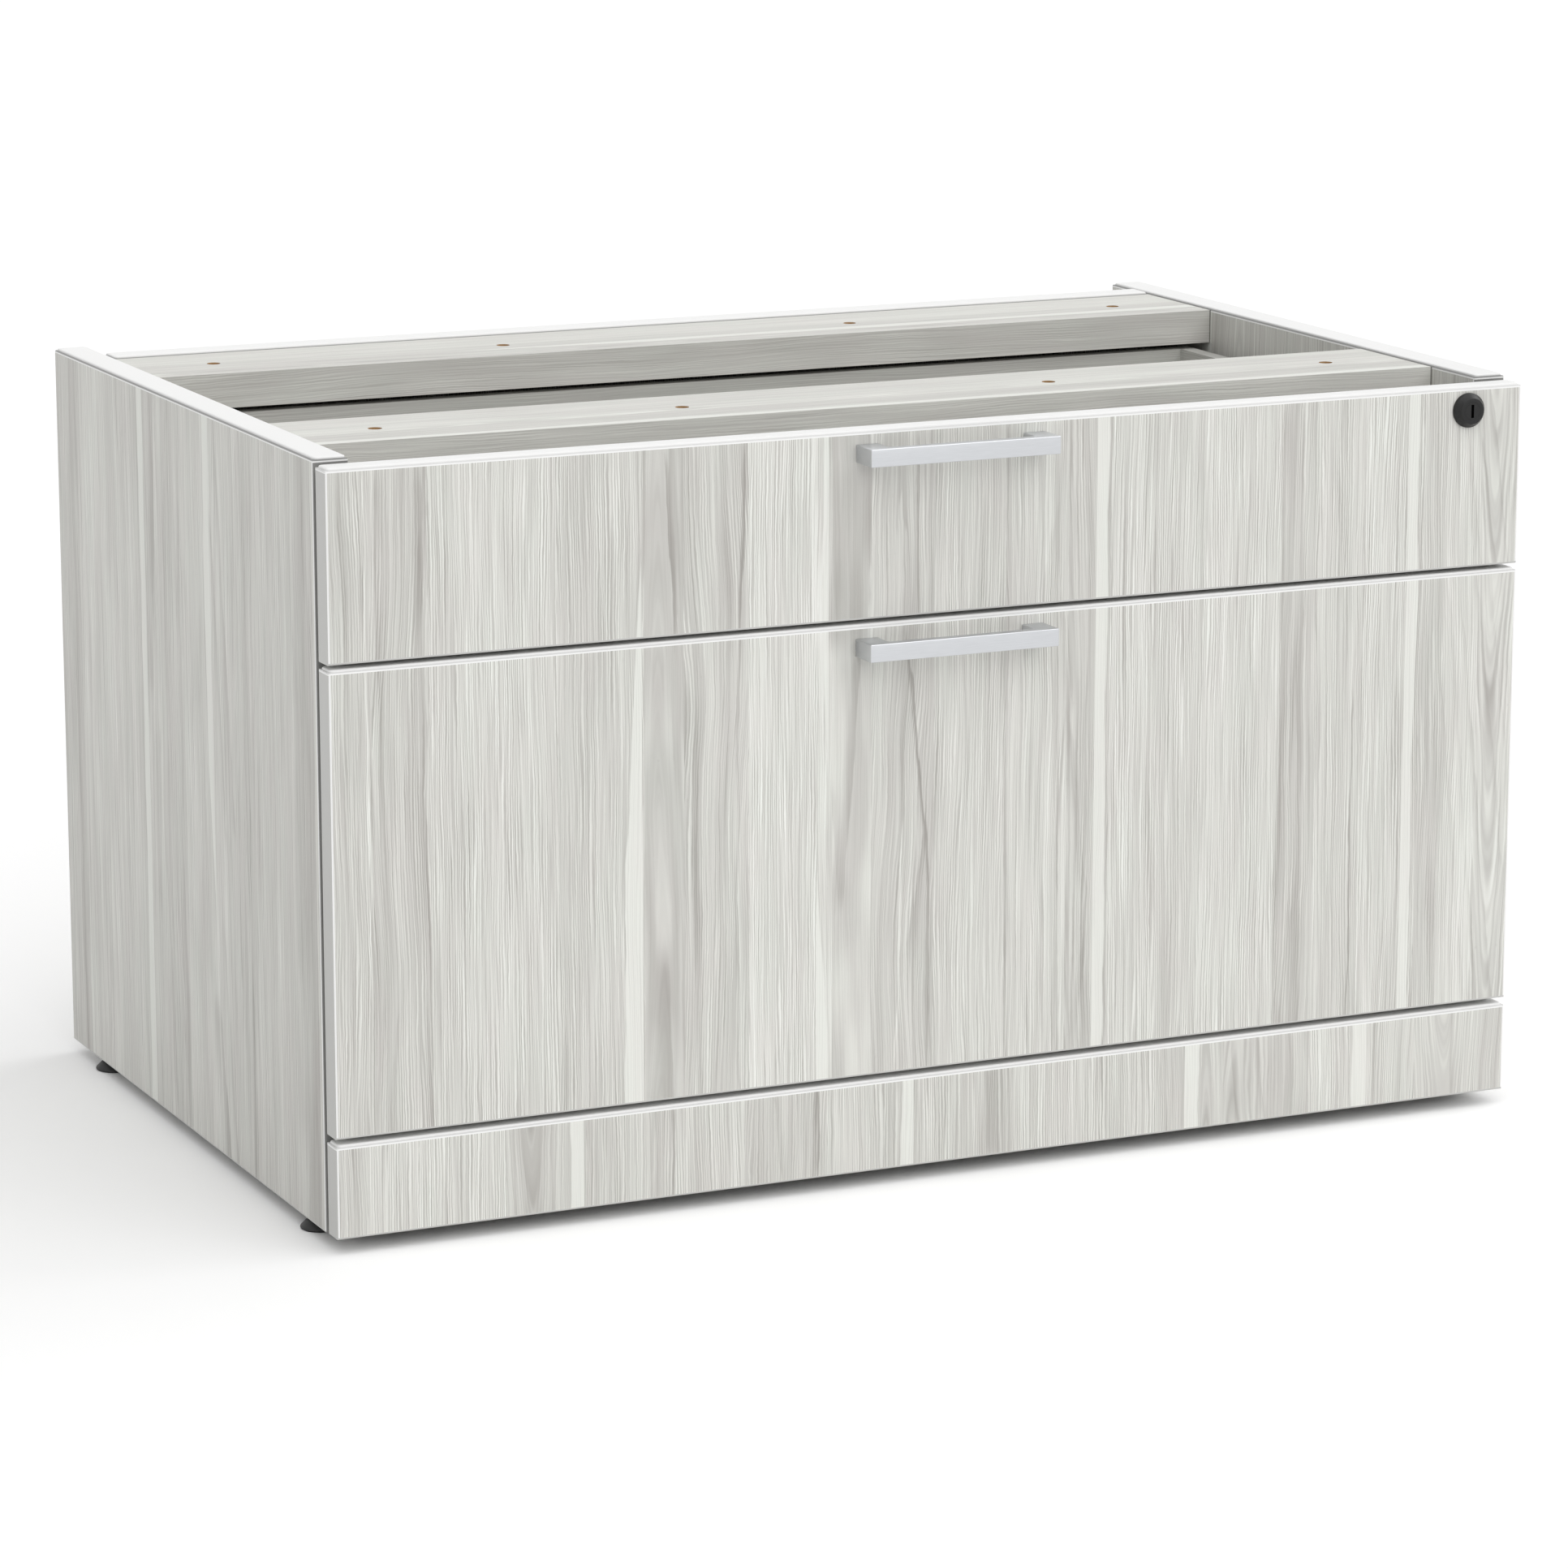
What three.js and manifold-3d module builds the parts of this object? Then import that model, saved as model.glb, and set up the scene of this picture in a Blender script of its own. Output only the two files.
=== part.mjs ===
// Lateral filing cabinet base: an open-topped laminate carcass with a shallow drawer over a
// hanging-file drawer, both on three-member ball-bearing slides, standing on four levellers.
// Millimetres, +Z up, the drawer fronts face -Y, and the origin is on the floor under the
// middle of the overall box. A worktop is screwed down through the two top rails.
import * as THREE from 'three';
import { mergeVertices } from 'three/addons/utils/BufferGeometryUtils.js';
import Module from 'manifold-3d';

const wasm = await Module();
wasm.setup();

// Carcass boards
const CABINET_WIDTH = 914.4;
const SIDE_DEPTH = 558.8;
const SIDE_THICKNESS = 25.4;
const SIDE_ABOVE_FRONTS = 3.8;
const RAIL_DEPTH = 101.6;
const RAIL_THICKNESS = 25.4;
const FRONT_RAIL_SETBACK = 58.9;
const BACK_THICKNESS = 25.4;
const BACK_RECESS = 38.1;
const BOTTOM_THICKNESS = 19;
const BOTTOM_DROP = 6;

// Screw holes through the rails, for the worktop
const RAIL_HOLE_DIAMETER = 10;
const INNER_HOLE_OFFSET = 143.5;
const OUTER_HOLE_OFFSET = 371.9;

// Drawer fronts and base front
const FRONT_THICKNESS = 19;
const FRONT_STANDOFF = 4.6;
const UPPER_FRONT_HEIGHT = 130.1;
const LOWER_FRONT_HEIGHT = 320;
const BASE_FRONT_HEIGHT = 64.2;
const DRAWER_GAP = 3.2;
const BASE_GAP = 4.1;
const BASE_CLEARANCE = 11.5;

// Edge band: a rounded strip round the board, with a crowned cap along its top
const BAND_THICKNESS = 1.5;
const BAND_RADIUS = 1.2;
const CROWN_HEIGHT = 1.7;
const CROWN_INSET = 1.2;
const CROWN_END_RADIUS = 3;

// Drawer boxes
const BOX_WALL = 12;
const BOX_LENGTH = 413;
const BOX_RAISE = 16;
const BOX_RAIL_CLEARANCE = 4.2;
const LOWER_BOX_DROP = 42;
const FLOOR_THICKNESS = 6;
const FLOOR_RAISE = 9;
const GROOVE_DEPTH = 6;
const GROOVE_CLEARANCE = 0.3;

// Hanging-file bars
const FILE_BAR_COUNT = 3;
const FILE_BAR_PITCH = 308;
const FILE_BAR_THICKNESS = 3;
const FILE_BAR_HEIGHT = 14;
const FILE_BAR_CORNER = 3.5;
const FILE_BAR_CLEARANCE = 0.3;
const FILE_BAR_END_GAP = 1;

// Telescopic slides
const SLIDE_LENGTH = 406.4;
const SLIDE_SPACE = 12.7;
const SLIDE_HEIGHT = 45.7;
const SLIDE_STOCK = 1.2;
const SLIDE_SETBACK = 1.9;
const SLIDE_RAISE = 34;
const BALL_DIAMETER = 3.6;
const BALL_CLEARANCE = 0.25;
const BALLS_PER_ROW = 5;
const RACE_INSET = 1.1;
const RACE_DROP = 3.4;
const WEB_GAP = 1.2;
const OUTER_RACE_START_ANGLE = 150;
const OUTER_RACE_END_ANGLE = 15;
const MIDDLE_RACE_END_ANGLE = 20;
const INNER_RACE_START_ANGLE = -30;
const INNER_RACE_END_ANGLE = -145;
const INNER_WEB_DROP = 2.2;
const SLIDE_HOLE_DIAMETER = 5.2;
const SLIDE_HOLE_SETBACK = 37;
const SLIDE_HOLE_PITCH = 160;
const SLIDE_HOLE_COUNT = 3;
const CAGE_STOCK = 0.5;
const CAGE_LENGTH = 190;

// Pulls
const PULL_LENGTH = 144.7;
const PULL_HEIGHT = 12.5;
const PULL_PROJECTION = 25;
const PULL_BAR_DEPTH = 7.5;
const PULL_LEG_WIDTH = 16.6;
const PULL_DROP = 8;
const PULL_EDGE = 0.6;

// Cam lock
const LOCK_FROM_RIGHT = 44.4;
const LOCK_DROP = 15.4;
const LOCK_FLANGE_DIAMETER = 25;
const LOCK_FACE_DIAMETER = 19;
const LOCK_PROJECTION = 7;
const LOCK_RIM = 2.5;
const LOCK_BARREL_DIAMETER = 19;
const LOCK_BARREL_REACH = 9;
const LOCK_BOX_CLEARANCE = 0.9;
const LOCK_BORE_CLEARANCE = 0.3;
const PLUG_DIAMETER = 12.4;
const PLUG_CLEARANCE = 0.3;
const PLUG_RECESS = 0.1;
const KEYWAY_HEIGHT = 9.6;
const KEYWAY_WIDTH = 2.2;
const KEYWAY_DEPTH = 12;
const SPIGOT_DIAMETER = 8;
const CAM_THICKNESS = 2.5;
const CAM_WIDTH = 13;
const CAM_REACH = 14.2;
const CAM_CORNER = 4;
const CAM_GAP = 0.5;
const KEEPER_STOCK = 1.5;
const KEEPER_LIP = 8.7;
const KEEPER_LENGTH = 16;
const KEEPER_HEIGHT = 14;
const KEEPER_GAP = 0.9;

// Levellers
const FOOT_DROP = 10;
const FOOT_DIAMETER = 28;
const FOOT_RIM = 1.8;
const FOOT_CONE = 6.2;
const FOOT_NECK_DIAMETER = 15.6;
const STEM_DIAMETER = 8;
const STEM_LENGTH = 42;
const STEM_CLEARANCE = 0.3;
const STEM_END_ROOM = 4;
const FRONT_FOOT_SETBACK = 46;
const REAR_FOOT_SETBACK = 60.9;

// Facets on round pieces
const ARC_STEPS = 5;
const ROUND_SIDES = 32;
const HOLE_SIDES = 20;
const SLIDE_HOLE_SIDES = 12;
const BEVEL_STEPS = 2;

// Distances under which points count as the same, and as lying on an end face
const WELD_TOLERANCE = 1e-4;
const END_TOLERANCE = 1e-3;

// Places worked out from the sizes above
const sideHalf = CABINET_WIDTH / 2;
const innerHalf = sideHalf - SIDE_THICKNESS;
const boxHalf = innerHalf - SLIDE_SPACE;
const boxInnerHalf = boxHalf - BOX_WALL;

const faceToSide = FRONT_THICKNESS + FRONT_STANDOFF;
const frontFace = PULL_PROJECTION - (PULL_PROJECTION + faceToSide + SIDE_DEPTH) / 2;
const frontBack = frontFace + FRONT_THICKNESS;
const sideFront = frontFace + faceToSide;
const sideRear = sideFront + SIDE_DEPTH;
const backRear = sideRear - BACK_RECESS;
const backFront = backRear - BACK_THICKNESS;
const boxRear = frontBack + BOX_LENGTH;
const slideFront = sideFront + SLIDE_SETBACK;
const slideRear = slideFront + SLIDE_LENGTH;

const baseTop = BASE_CLEARANCE + BASE_FRONT_HEIGHT;
const lowerBottom = baseTop + CROWN_HEIGHT + BASE_GAP;
const lowerTop = lowerBottom + LOWER_FRONT_HEIGHT;
const upperBottom = lowerTop + CROWN_HEIGHT + DRAWER_GAP;
const upperTop = upperBottom + UPPER_FRONT_HEIGHT;
const sideTop = upperTop + SIDE_ABOVE_FRONTS;
const railUnderside = sideTop - RAIL_THICKNESS;
const bottomTop = baseTop - BOTTOM_DROP;
const lockX = sideHalf - LOCK_FROM_RIGHT;
const lockZ = upperTop - LOCK_DROP;

// The shallow box runs under the rails and under the lock's barrel.
const underLock = lockZ - LOCK_BARREL_DIAMETER / 2 - LOCK_BOX_CLEARANCE;
const upperBoxTop = Math.min(railUnderside - BOX_RAIL_CLEARANCE, underLock);
const upperBoxBottom = upperBottom + BOX_RAISE;
const lowerBoxTop = lowerTop - LOWER_BOX_DROP;
const lowerBoxBottom = lowerBottom + BOX_RAISE;

const cabinet = new THREE.Group();
cabinet.name = 'lateral_filing_cabinet';

// Finishes
const laminate = { color: 0xcfcfca, roughness: 0.55, metalness: 0 };
const edging = { color: 0xededea, roughness: 0.45, metalness: 0 };
const boxBoard = { color: 0xc9c9c4, roughness: 0.6, metalness: 0 };
const zincSteel = { color: 0xb4b7ba, roughness: 0.35, metalness: 1 };
const cageSteel = { color: 0x8f9296, roughness: 0.4, metalness: 1 };
const satinSilver = { color: 0xc6c8cc, roughness: 0.35, metalness: 0.9 };
const blackMetal = { color: 0x1f1f20, roughness: 0.4, metalness: 0.5 };
const blackPlastic = { color: 0x1a1a1a, roughness: 0.55, metalness: 0 };

function add(name, geometry, finish) {
  const material = new THREE.MeshStandardMaterial({ ...finish, flatShading: true });
  const piece = new THREE.Mesh(geometry, material);
  piece.name = name;
  cabinet.add(piece);
}

// Keeps only positions, joins vertices that coincide and drops triangles with no area.
function weld(geometry) {
  geometry.deleteAttribute('normal');
  geometry.deleteAttribute('uv');
  const merged = mergeVertices(geometry, WELD_TOLERANCE);
  const kept = [];
  for (let i = 0; i < merged.index.count; i += 3) {
    const [a, b, c] = [0, 1, 2].map((k) => merged.index.getX(i + k));
    if (a !== b && b !== c && c !== a) kept.push(a, b, c);
  }
  merged.setIndex(kept);
  return merged;
}

function toSolid(geometry) {
  const vertProperties = new Float32Array(geometry.attributes.position.array);
  const triVerts = new Uint32Array(geometry.index.array);
  return new wasm.Manifold(new wasm.Mesh({ numProp: 3, vertProperties, triVerts }));
}

function toGeometry(solid) {
  const mesh = solid.getMesh();
  const geometry = new THREE.BufferGeometry();
  geometry.setAttribute('position', new THREE.BufferAttribute(mesh.vertProperties, 3));
  geometry.setIndex(new THREE.BufferAttribute(mesh.triVerts, 1));
  return geometry;
}

function cut(geometry, tools) {
  return toGeometry(tools.reduce((solid, tool) => solid.subtract(toSolid(tool)), toSolid(geometry)));
}

function join(geometries) {
  const [first, ...others] = geometries.map(toSolid);
  return toGeometry(others.reduce((solid, other) => solid.add(other), first));
}

// A box between two corners, with its faces exactly on them.
function block([x0, x1], [y0, y1], [z0, z1]) {
  const geometry = weld(new THREE.BoxGeometry(1, 1, 1));
  const position = geometry.attributes.position;
  for (let i = 0; i < position.count; i += 1) {
    position.setXYZ(
      i,
      position.getX(i) < 0 ? x0 : x1,
      position.getY(i) < 0 ? y0 : y1,
      position.getZ(i) < 0 ? z0 : z1,
    );
  }
  return geometry;
}

// Carries a flat outline along one axis, with its end faces exactly on from and to. The outline
// is drawn in (y, z) for x, in (x, z) for y and in (x, y) for z. A rim rounds both ends.
function extrude(outline, axis, [from, to], rim = 0) {
  const length = to - from;
  const geometry = weld(new THREE.ExtrudeGeometry(outline, {
    depth: length - 2 * rim,
    curveSegments: ARC_STEPS,
    bevelEnabled: rim > 0,
    bevelThickness: rim,
    bevelSize: rim,
    bevelOffset: -rim,
    bevelSegments: BEVEL_STEPS,
  }));
  const along = (run) => {
    if (run < END_TOLERANCE) return from;
    if (run > length - END_TOLERANCE) return to;
    return from + run;
  };
  const position = geometry.attributes.position;
  for (let i = 0; i < position.count; i += 1) {
    const a = position.getX(i);
    const b = position.getY(i);
    const run = position.getZ(i) + rim;
    if (axis === 'x') position.setXYZ(i, along(run), a, b);
    if (axis === 'y') position.setXYZ(i, a, along(length - run), b);
    if (axis === 'z') position.setXYZ(i, a, b, along(run));
  }
  return geometry;
}

function rectangle([a0, a1], [b0, b1]) {
  return new THREE.Shape([
    new THREE.Vector2(a0, b0),
    new THREE.Vector2(a1, b0),
    new THREE.Vector2(a1, b1),
    new THREE.Vector2(a0, b1),
  ]);
}

function roundedRectangle([a0, a1], [b0, b1], radius) {
  const shape = new THREE.Shape();
  shape.absarc(a1 - radius, b1 - radius, radius, 0, Math.PI / 2);
  shape.absarc(a0 + radius, b1 - radius, radius, Math.PI / 2, Math.PI);
  shape.absarc(a0 + radius, b0 + radius, radius, Math.PI, 1.5 * Math.PI);
  shape.absarc(a1 - radius, b0 + radius, radius, 1.5 * Math.PI, 2 * Math.PI);
  return shape;
}

// Turns a profile of [radius, height] points about an axis, with height along it. The axis stands
// at (y, z) for x, at (x, z) for y and at (x, y) for z.
function turn(profile, axis, [a, b], sides = ROUND_SIDES) {
  const points = profile.map(([radius, height]) => new THREE.Vector2(radius, height));
  const geometry = weld(new THREE.LatheGeometry(points, sides));
  const position = geometry.attributes.position;
  for (let i = 0; i < position.count; i += 1) {
    const [x, y, z] = [position.getX(i), position.getY(i), position.getZ(i)];
    if (axis === 'x') position.setXYZ(i, y, a + x, b - z);
    if (axis === 'y') position.setXYZ(i, a + x, y, b + z);
    if (axis === 'z') position.setXYZ(i, a + x, b - z, y);
  }
  return geometry;
}

function rod(radius, axis, place, [from, to], sides) {
  return turn([[0, from], [radius, from], [radius, to], [0, to]], axis, place, sides);
}

const grow = ([low, high], amount) => [low - amount, high + amount];

// A board and the band round its four edges. The board faces along x for a side panel and
// along y for the rest, and span is its extent across the face.
function edgedBoard(facing, span, thick, height) {
  const ring = extrude(rectangle(span, height), facing, thick, BAND_RADIUS);
  const boardSpan = grow(span, -BAND_THICKNESS);
  const boardHeight = grow(height, -BAND_THICKNESS);
  const place = (a, b, z) => (facing === 'x' ? block(b, a, z) : block(a, b, z));
  const board = place(boardSpan, thick, boardHeight);
  const opening = place(boardSpan, grow(thick, BAND_THICKNESS), boardHeight);
  const capSpan = grow(span, -CROWN_INSET);
  const capThick = grow(thick, -CROWN_INSET);
  const plan = facing === 'x' ? [capThick, capSpan] : [capSpan, capThick];
  const capRoot = height[1] - BAND_RADIUS - (BAND_THICKNESS - BAND_RADIUS) / 2;
  const cap = extrude(
    roundedRectangle(...plan, CROWN_END_RADIUS),
    'z',
    [capRoot, height[1] + CROWN_HEIGHT],
    BAND_RADIUS,
  );
  return { board, band: join([cut(ring, [opening]), cap]) };
}

// Carcass
const footPlaces = [
  ['front_left', -1, sideFront + FRONT_FOOT_SETBACK],
  ['front_right', 1, sideFront + FRONT_FOOT_SETBACK],
  ['rear_left', -1, sideRear - REAR_FOOT_SETBACK],
  ['rear_right', 1, sideRear - REAR_FOOT_SETBACK],
];
const footX = sideHalf - SIDE_THICKNESS / 2;

function addSide(name, hand) {
  const faces = [hand * innerHalf, hand * sideHalf].sort((a, b) => a - b);
  const { board, band } = edgedBoard('x', [sideFront, sideRear], faces, [FOOT_DROP, sideTop]);
  const holeTop = FOOT_DROP + STEM_LENGTH + STEM_END_ROOM;
  const holes = footPlaces
    .filter(([, side]) => side === hand)
    .map(([, side, y]) => rod(
      STEM_DIAMETER / 2 + STEM_CLEARANCE,
      'z',
      [side * footX, y],
      [FOOT_DROP - BAND_THICKNESS, holeTop],
      HOLE_SIDES,
    ));
  add(`${name}_side_panel`, cut(board, holes), laminate);
  add(`${name}_side_edge_band`, cut(band, holes), edging);
}

function addRail(name, front) {
  const y = front + RAIL_DEPTH / 2;
  const rail = block([-innerHalf, innerHalf], [front, front + RAIL_DEPTH], [railUnderside, sideTop]);
  const offsets = [-OUTER_HOLE_OFFSET, -INNER_HOLE_OFFSET, INNER_HOLE_OFFSET, OUTER_HOLE_OFFSET];
  const holes = offsets.map((x) => rod(
    RAIL_HOLE_DIAMETER / 2,
    'z',
    [x, y],
    grow([railUnderside, sideTop], RAIL_HOLE_DIAMETER),
    HOLE_SIDES,
  ));
  add(name, cut(rail, holes), laminate);
}

function addCarcass() {
  addSide('left', -1);
  addSide('right', 1);
  const between = [-innerHalf, innerHalf];
  const back = edgedBoard('y', between, [backFront, backRear], [BASE_CLEARANCE, sideTop]);
  add('back_panel', back.board, laminate);
  add('back_edge_band', back.band, edging);
  addRail('front_top_rail', sideFront + FRONT_RAIL_SETBACK);
  addRail('rear_top_rail', backFront - RAIL_DEPTH);
  const bottomFaces = [bottomTop - BOTTOM_THICKNESS, bottomTop];
  add('bottom_panel', block(between, [frontBack, backFront], bottomFaces), laminate);
  const across = [-sideHalf, sideHalf];
  const base = edgedBoard('y', across, [frontFace, frontBack], [BASE_CLEARANCE, baseTop]);
  add('base_front_panel', base.board, laminate);
  add('base_front_edge_band', base.band, edging);
}

function addLevellers() {
  const radius = FOOT_DIAMETER / 2;
  const foot = [
    [0, 0],
    [radius - FOOT_RIM / 2, 0],
    [radius, FOOT_RIM / 2],
    [radius, FOOT_RIM],
    [FOOT_NECK_DIAMETER / 2, FOOT_RIM + FOOT_CONE],
    [STEM_DIAMETER / 2, FOOT_RIM + FOOT_CONE],
    [STEM_DIAMETER / 2, FOOT_DROP + STEM_LENGTH],
    [0, FOOT_DROP + STEM_LENGTH],
  ];
  footPlaces.forEach(([name, side, y]) => {
    add(`leveller_${name}`, turn(foot, 'z', [side * footX, y]), blackPlastic);
  });
}

// Drawers
function addFront(name, height, holes) {
  const { board, band } = edgedBoard('y', [-sideHalf, sideHalf], [frontFace, frontBack], height);
  add(`${name}_front_panel`, holes.length ? cut(board, holes) : board, laminate);
  add(`${name}_front_edge_band`, band, edging);
}

// Four walls grooved for a floor. The sides run full length, the ends stand between them, and
// notches are cut down into the ends' top edges.
function addBox(name, bottom, top, notches) {
  const floor = [bottom + FLOOR_RAISE, bottom + FLOOR_RAISE + FLOOR_THICKNESS];
  const floorX = boxInnerHalf + GROOVE_DEPTH;
  const floorY = [frontBack + BOX_WALL - GROOVE_DEPTH, boxRear - BOX_WALL + GROOVE_DEPTH];
  const groove = block(
    grow([-floorX, floorX], GROOVE_CLEARANCE),
    grow(floorY, GROOVE_CLEARANCE),
    grow(floor, GROOVE_CLEARANCE),
  );
  const height = [bottom, top];
  const length = [frontBack, boxRear];
  const between = [-boxInnerHalf, boxInnerHalf];
  const walls = {
    box_left: [block([-boxHalf, -boxInnerHalf], length, height), []],
    box_right: [block([boxInnerHalf, boxHalf], length, height), []],
    box_front: [block(between, [frontBack, frontBack + BOX_WALL], height), notches],
    box_back: [block(between, [boxRear - BOX_WALL, boxRear], height), notches],
  };
  Object.entries(walls).forEach(([wall, [geometry, slots]]) => {
    add(`${name}_${wall}`, cut(geometry, [groove, ...slots]), boxBoard);
  });
  add(`${name}_box_floor`, block([-floorX, floorX], floorY, floor), boxBoard);
}

// A square D-shaped pull: two legs and a bar, cut from one outline seen from above.
function addPull(name, frontTop) {
  const half = PULL_LENGTH / 2;
  const barFront = frontFace - PULL_PROJECTION;
  const outline = new THREE.Shape([
    new THREE.Vector2(-half, frontFace),
    new THREE.Vector2(-half, barFront),
    new THREE.Vector2(half, barFront),
    new THREE.Vector2(half, frontFace),
    new THREE.Vector2(half - PULL_LEG_WIDTH, frontFace),
    new THREE.Vector2(half - PULL_LEG_WIDTH, barFront + PULL_BAR_DEPTH),
    new THREE.Vector2(-half + PULL_LEG_WIDTH, barFront + PULL_BAR_DEPTH),
    new THREE.Vector2(-half + PULL_LEG_WIDTH, frontFace),
  ]);
  const top = frontTop - PULL_DROP;
  add(name, extrude(outline, 'z', [top - PULL_HEIGHT, top], PULL_EDGE), satinSilver);
}

// Flat steel bars, front to back, standing in notches in the box's ends.
const fileBarX = Array.from(
  { length: FILE_BAR_COUNT },
  (_, i) => (i - (FILE_BAR_COUNT - 1) / 2) * FILE_BAR_PITCH,
);

function fileBarNotches() {
  const room = FILE_BAR_THICKNESS / 2 + FILE_BAR_CLEARANCE;
  return fileBarX.map((x) => block(
    [x - room, x + room],
    grow([frontBack, boxRear], BOX_WALL),
    [lowerBoxTop - FILE_BAR_HEIGHT, lowerBoxTop + FILE_BAR_HEIGHT],
  ));
}

function addFileBars() {
  const [y0, y1] = grow([frontBack, boxRear], -FILE_BAR_END_GAP);
  const low = lowerBoxTop - FILE_BAR_HEIGHT;
  const corner = FILE_BAR_CORNER;
  const outline = new THREE.Shape([
    new THREE.Vector2(y0, low),
    new THREE.Vector2(y1, low),
    new THREE.Vector2(y1, lowerBoxTop - corner),
    new THREE.Vector2(y1 - corner, lowerBoxTop),
    new THREE.Vector2(y0 + corner, lowerBoxTop),
    new THREE.Vector2(y0, lowerBoxTop - corner),
  ]);
  fileBarX.forEach((x, i) => {
    const faces = [x - FILE_BAR_THICKNESS / 2, x + FILE_BAR_THICKNESS / 2];
    add(`file_bar_${i + 1}`, extrude(outline, 'x', faces), zincSteel);
  });
}

// Telescopic slides. A section is drawn in (u, w): u from the side panel towards the drawer, w up
// from the slide's middle. Each member is one strip of sheet bent round two rows of balls. The
// outer member is rolled over the outer row, the middle one under the outer row and over the
// inner row, and the inner one under the inner row.
const raceRadius = BALL_DIAMETER / 2 + BALL_CLEARANCE + SLIDE_STOCK / 2;
const outerBall = new THREE.Vector2(
  SLIDE_STOCK / 2 + RACE_INSET + raceRadius,
  SLIDE_HEIGHT / 2 - SLIDE_STOCK / 2 - raceRadius,
);
const innerBallU = SLIDE_SPACE - SLIDE_STOCK / 2 - RACE_INSET - raceRadius;
const raceShift = innerBallU - outerBall.x;
const raceDrop = Math.sqrt(Math.max((2 * raceRadius) ** 2 - raceShift ** 2, RACE_DROP ** 2));
const innerBall = new THREE.Vector2(innerBallU, outerBall.y - raceDrop);

const radians = THREE.MathUtils.degToRad;

function arc(centre, radius, fromAngle, toAngle) {
  return Array.from({ length: ARC_STEPS + 1 }, (_, i) => {
    const angle = fromAngle + ((toAngle - fromAngle) * i) / ARC_STEPS;
    return new THREE.Vector2(
      centre.x + radius * Math.cos(angle),
      centre.y + radius * Math.sin(angle),
    );
  });
}

// The upper half of each bent strip's centre line, from its web to its tip.
function outerHalfLine() {
  const web = SLIDE_STOCK / 2;
  const race = arc(
    outerBall,
    raceRadius,
    radians(OUTER_RACE_START_ANGLE),
    radians(OUTER_RACE_END_ANGLE),
  );
  return [new THREE.Vector2(web, race[0].y - RACE_INSET), ...race];
}

function middleHalfLine() {
  const web = SLIDE_STOCK + WEB_GAP + SLIDE_STOCK / 2;
  const apart = innerBall.clone().sub(outerBall);
  const lean = Math.acos(Math.min(1, (2 * raceRadius) / apart.length()));
  const cross = apart.angle() - lean;
  const webAngle = 2 * Math.PI - Math.acos((web - outerBall.x) / raceRadius);
  return [
    ...arc(outerBall, raceRadius, webAngle, cross),
    ...arc(innerBall, raceRadius, cross - Math.PI, radians(MIDDLE_RACE_END_ANGLE)).slice(1),
  ];
}

function innerHalfLine() {
  const web = SLIDE_SPACE - SLIDE_STOCK / 2;
  const race = arc(
    innerBall,
    raceRadius,
    radians(INNER_RACE_START_ANGLE),
    radians(INNER_RACE_END_ANGLE),
  );
  return [new THREE.Vector2(web, race[0].y - INNER_WEB_DROP), ...race];
}

function outerCageHalf() {
  const web = SLIDE_STOCK + WEB_GAP / 2;
  return [new THREE.Vector2(web, outerBall.y - WEB_GAP), outerBall.clone()];
}

function innerCageHalf() {
  const web = 2 * SLIDE_STOCK + WEB_GAP + WEB_GAP / 2;
  return [new THREE.Vector2(web, innerBall.y - WEB_GAP / 2), innerBall.clone()];
}

// Thickens a centre line into a closed outline, with mitred bends.
function thicken(line, stock) {
  const left = [];
  const right = [];
  line.forEach((point, i) => {
    const before = line[Math.max(i - 1, 0)];
    const after = line[Math.min(i + 1, line.length - 1)];
    const into = (i > 0 ? point.clone().sub(before) : after.clone().sub(point)).normalize();
    const out = (i < line.length - 1 ? after.clone().sub(point) : into.clone()).normalize();
    const bisector = into.clone().add(out).normalize();
    const normal = new THREE.Vector2(-bisector.y, bisector.x);
    const reach = stock / 2 / bisector.dot(into);
    left.push(point.clone().addScaledVector(normal, reach));
    right.push(point.clone().addScaledVector(normal, -reach));
  });
  return [...left, ...right.reverse()];
}

// Mirrors the half line about the slide's middle, and sets it on one side of the cabinet.
function memberOutline(half, stock, hand, z) {
  const lower = half.map((point) => new THREE.Vector2(point.x, -point.y)).reverse();
  const outline = thicken([...lower, ...half], stock);
  return new THREE.Shape(outline.map((p) => new THREE.Vector2(hand * (innerHalf - p.x), z + p.y)));
}

// A cage and its balls: a bent strip down the middle of the slide, with a row of balls along
// each of its edges. It starts in the middle of its slide and runs with half the motion.
function cageWithBalls(half, ball, hand, z) {
  const middle = (slideFront + slideRear) / 2;
  const span = [middle - CAGE_LENGTH / 2, middle + CAGE_LENGTH / 2];
  const strip = extrude(memberOutline(half, CAGE_STOCK, hand, z), 'y', span);
  const pitch = CAGE_LENGTH / BALLS_PER_ROW;
  const balls = [];
  for (let i = 0; i < BALLS_PER_ROW; i += 1) {
    [-1, 1].forEach((row) => {
      const sphere = weld(new THREE.IcosahedronGeometry(BALL_DIAMETER / 2, 0));
      sphere.translate(hand * (innerHalf - ball.x), span[0] + (i + 0.5) * pitch, z + row * ball.y);
      balls.push(sphere);
    });
  }
  return join([strip, ...balls]);
}

// Screw holes along the middle of an outer or inner member's web.
function slideHoles(web, hand, z) {
  const faces = [hand * (innerHalf - web), hand * (innerHalf - web - SLIDE_STOCK)];
  const reach = grow(faces.sort((a, b) => a - b), SLIDE_STOCK);
  return Array.from({ length: SLIDE_HOLE_COUNT }, (_, i) => {
    const y = slideFront + SLIDE_HOLE_SETBACK + i * SLIDE_HOLE_PITCH;
    return rod(SLIDE_HOLE_DIAMETER / 2, 'x', [y, z], reach, SLIDE_HOLE_SIDES);
  });
}

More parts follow.
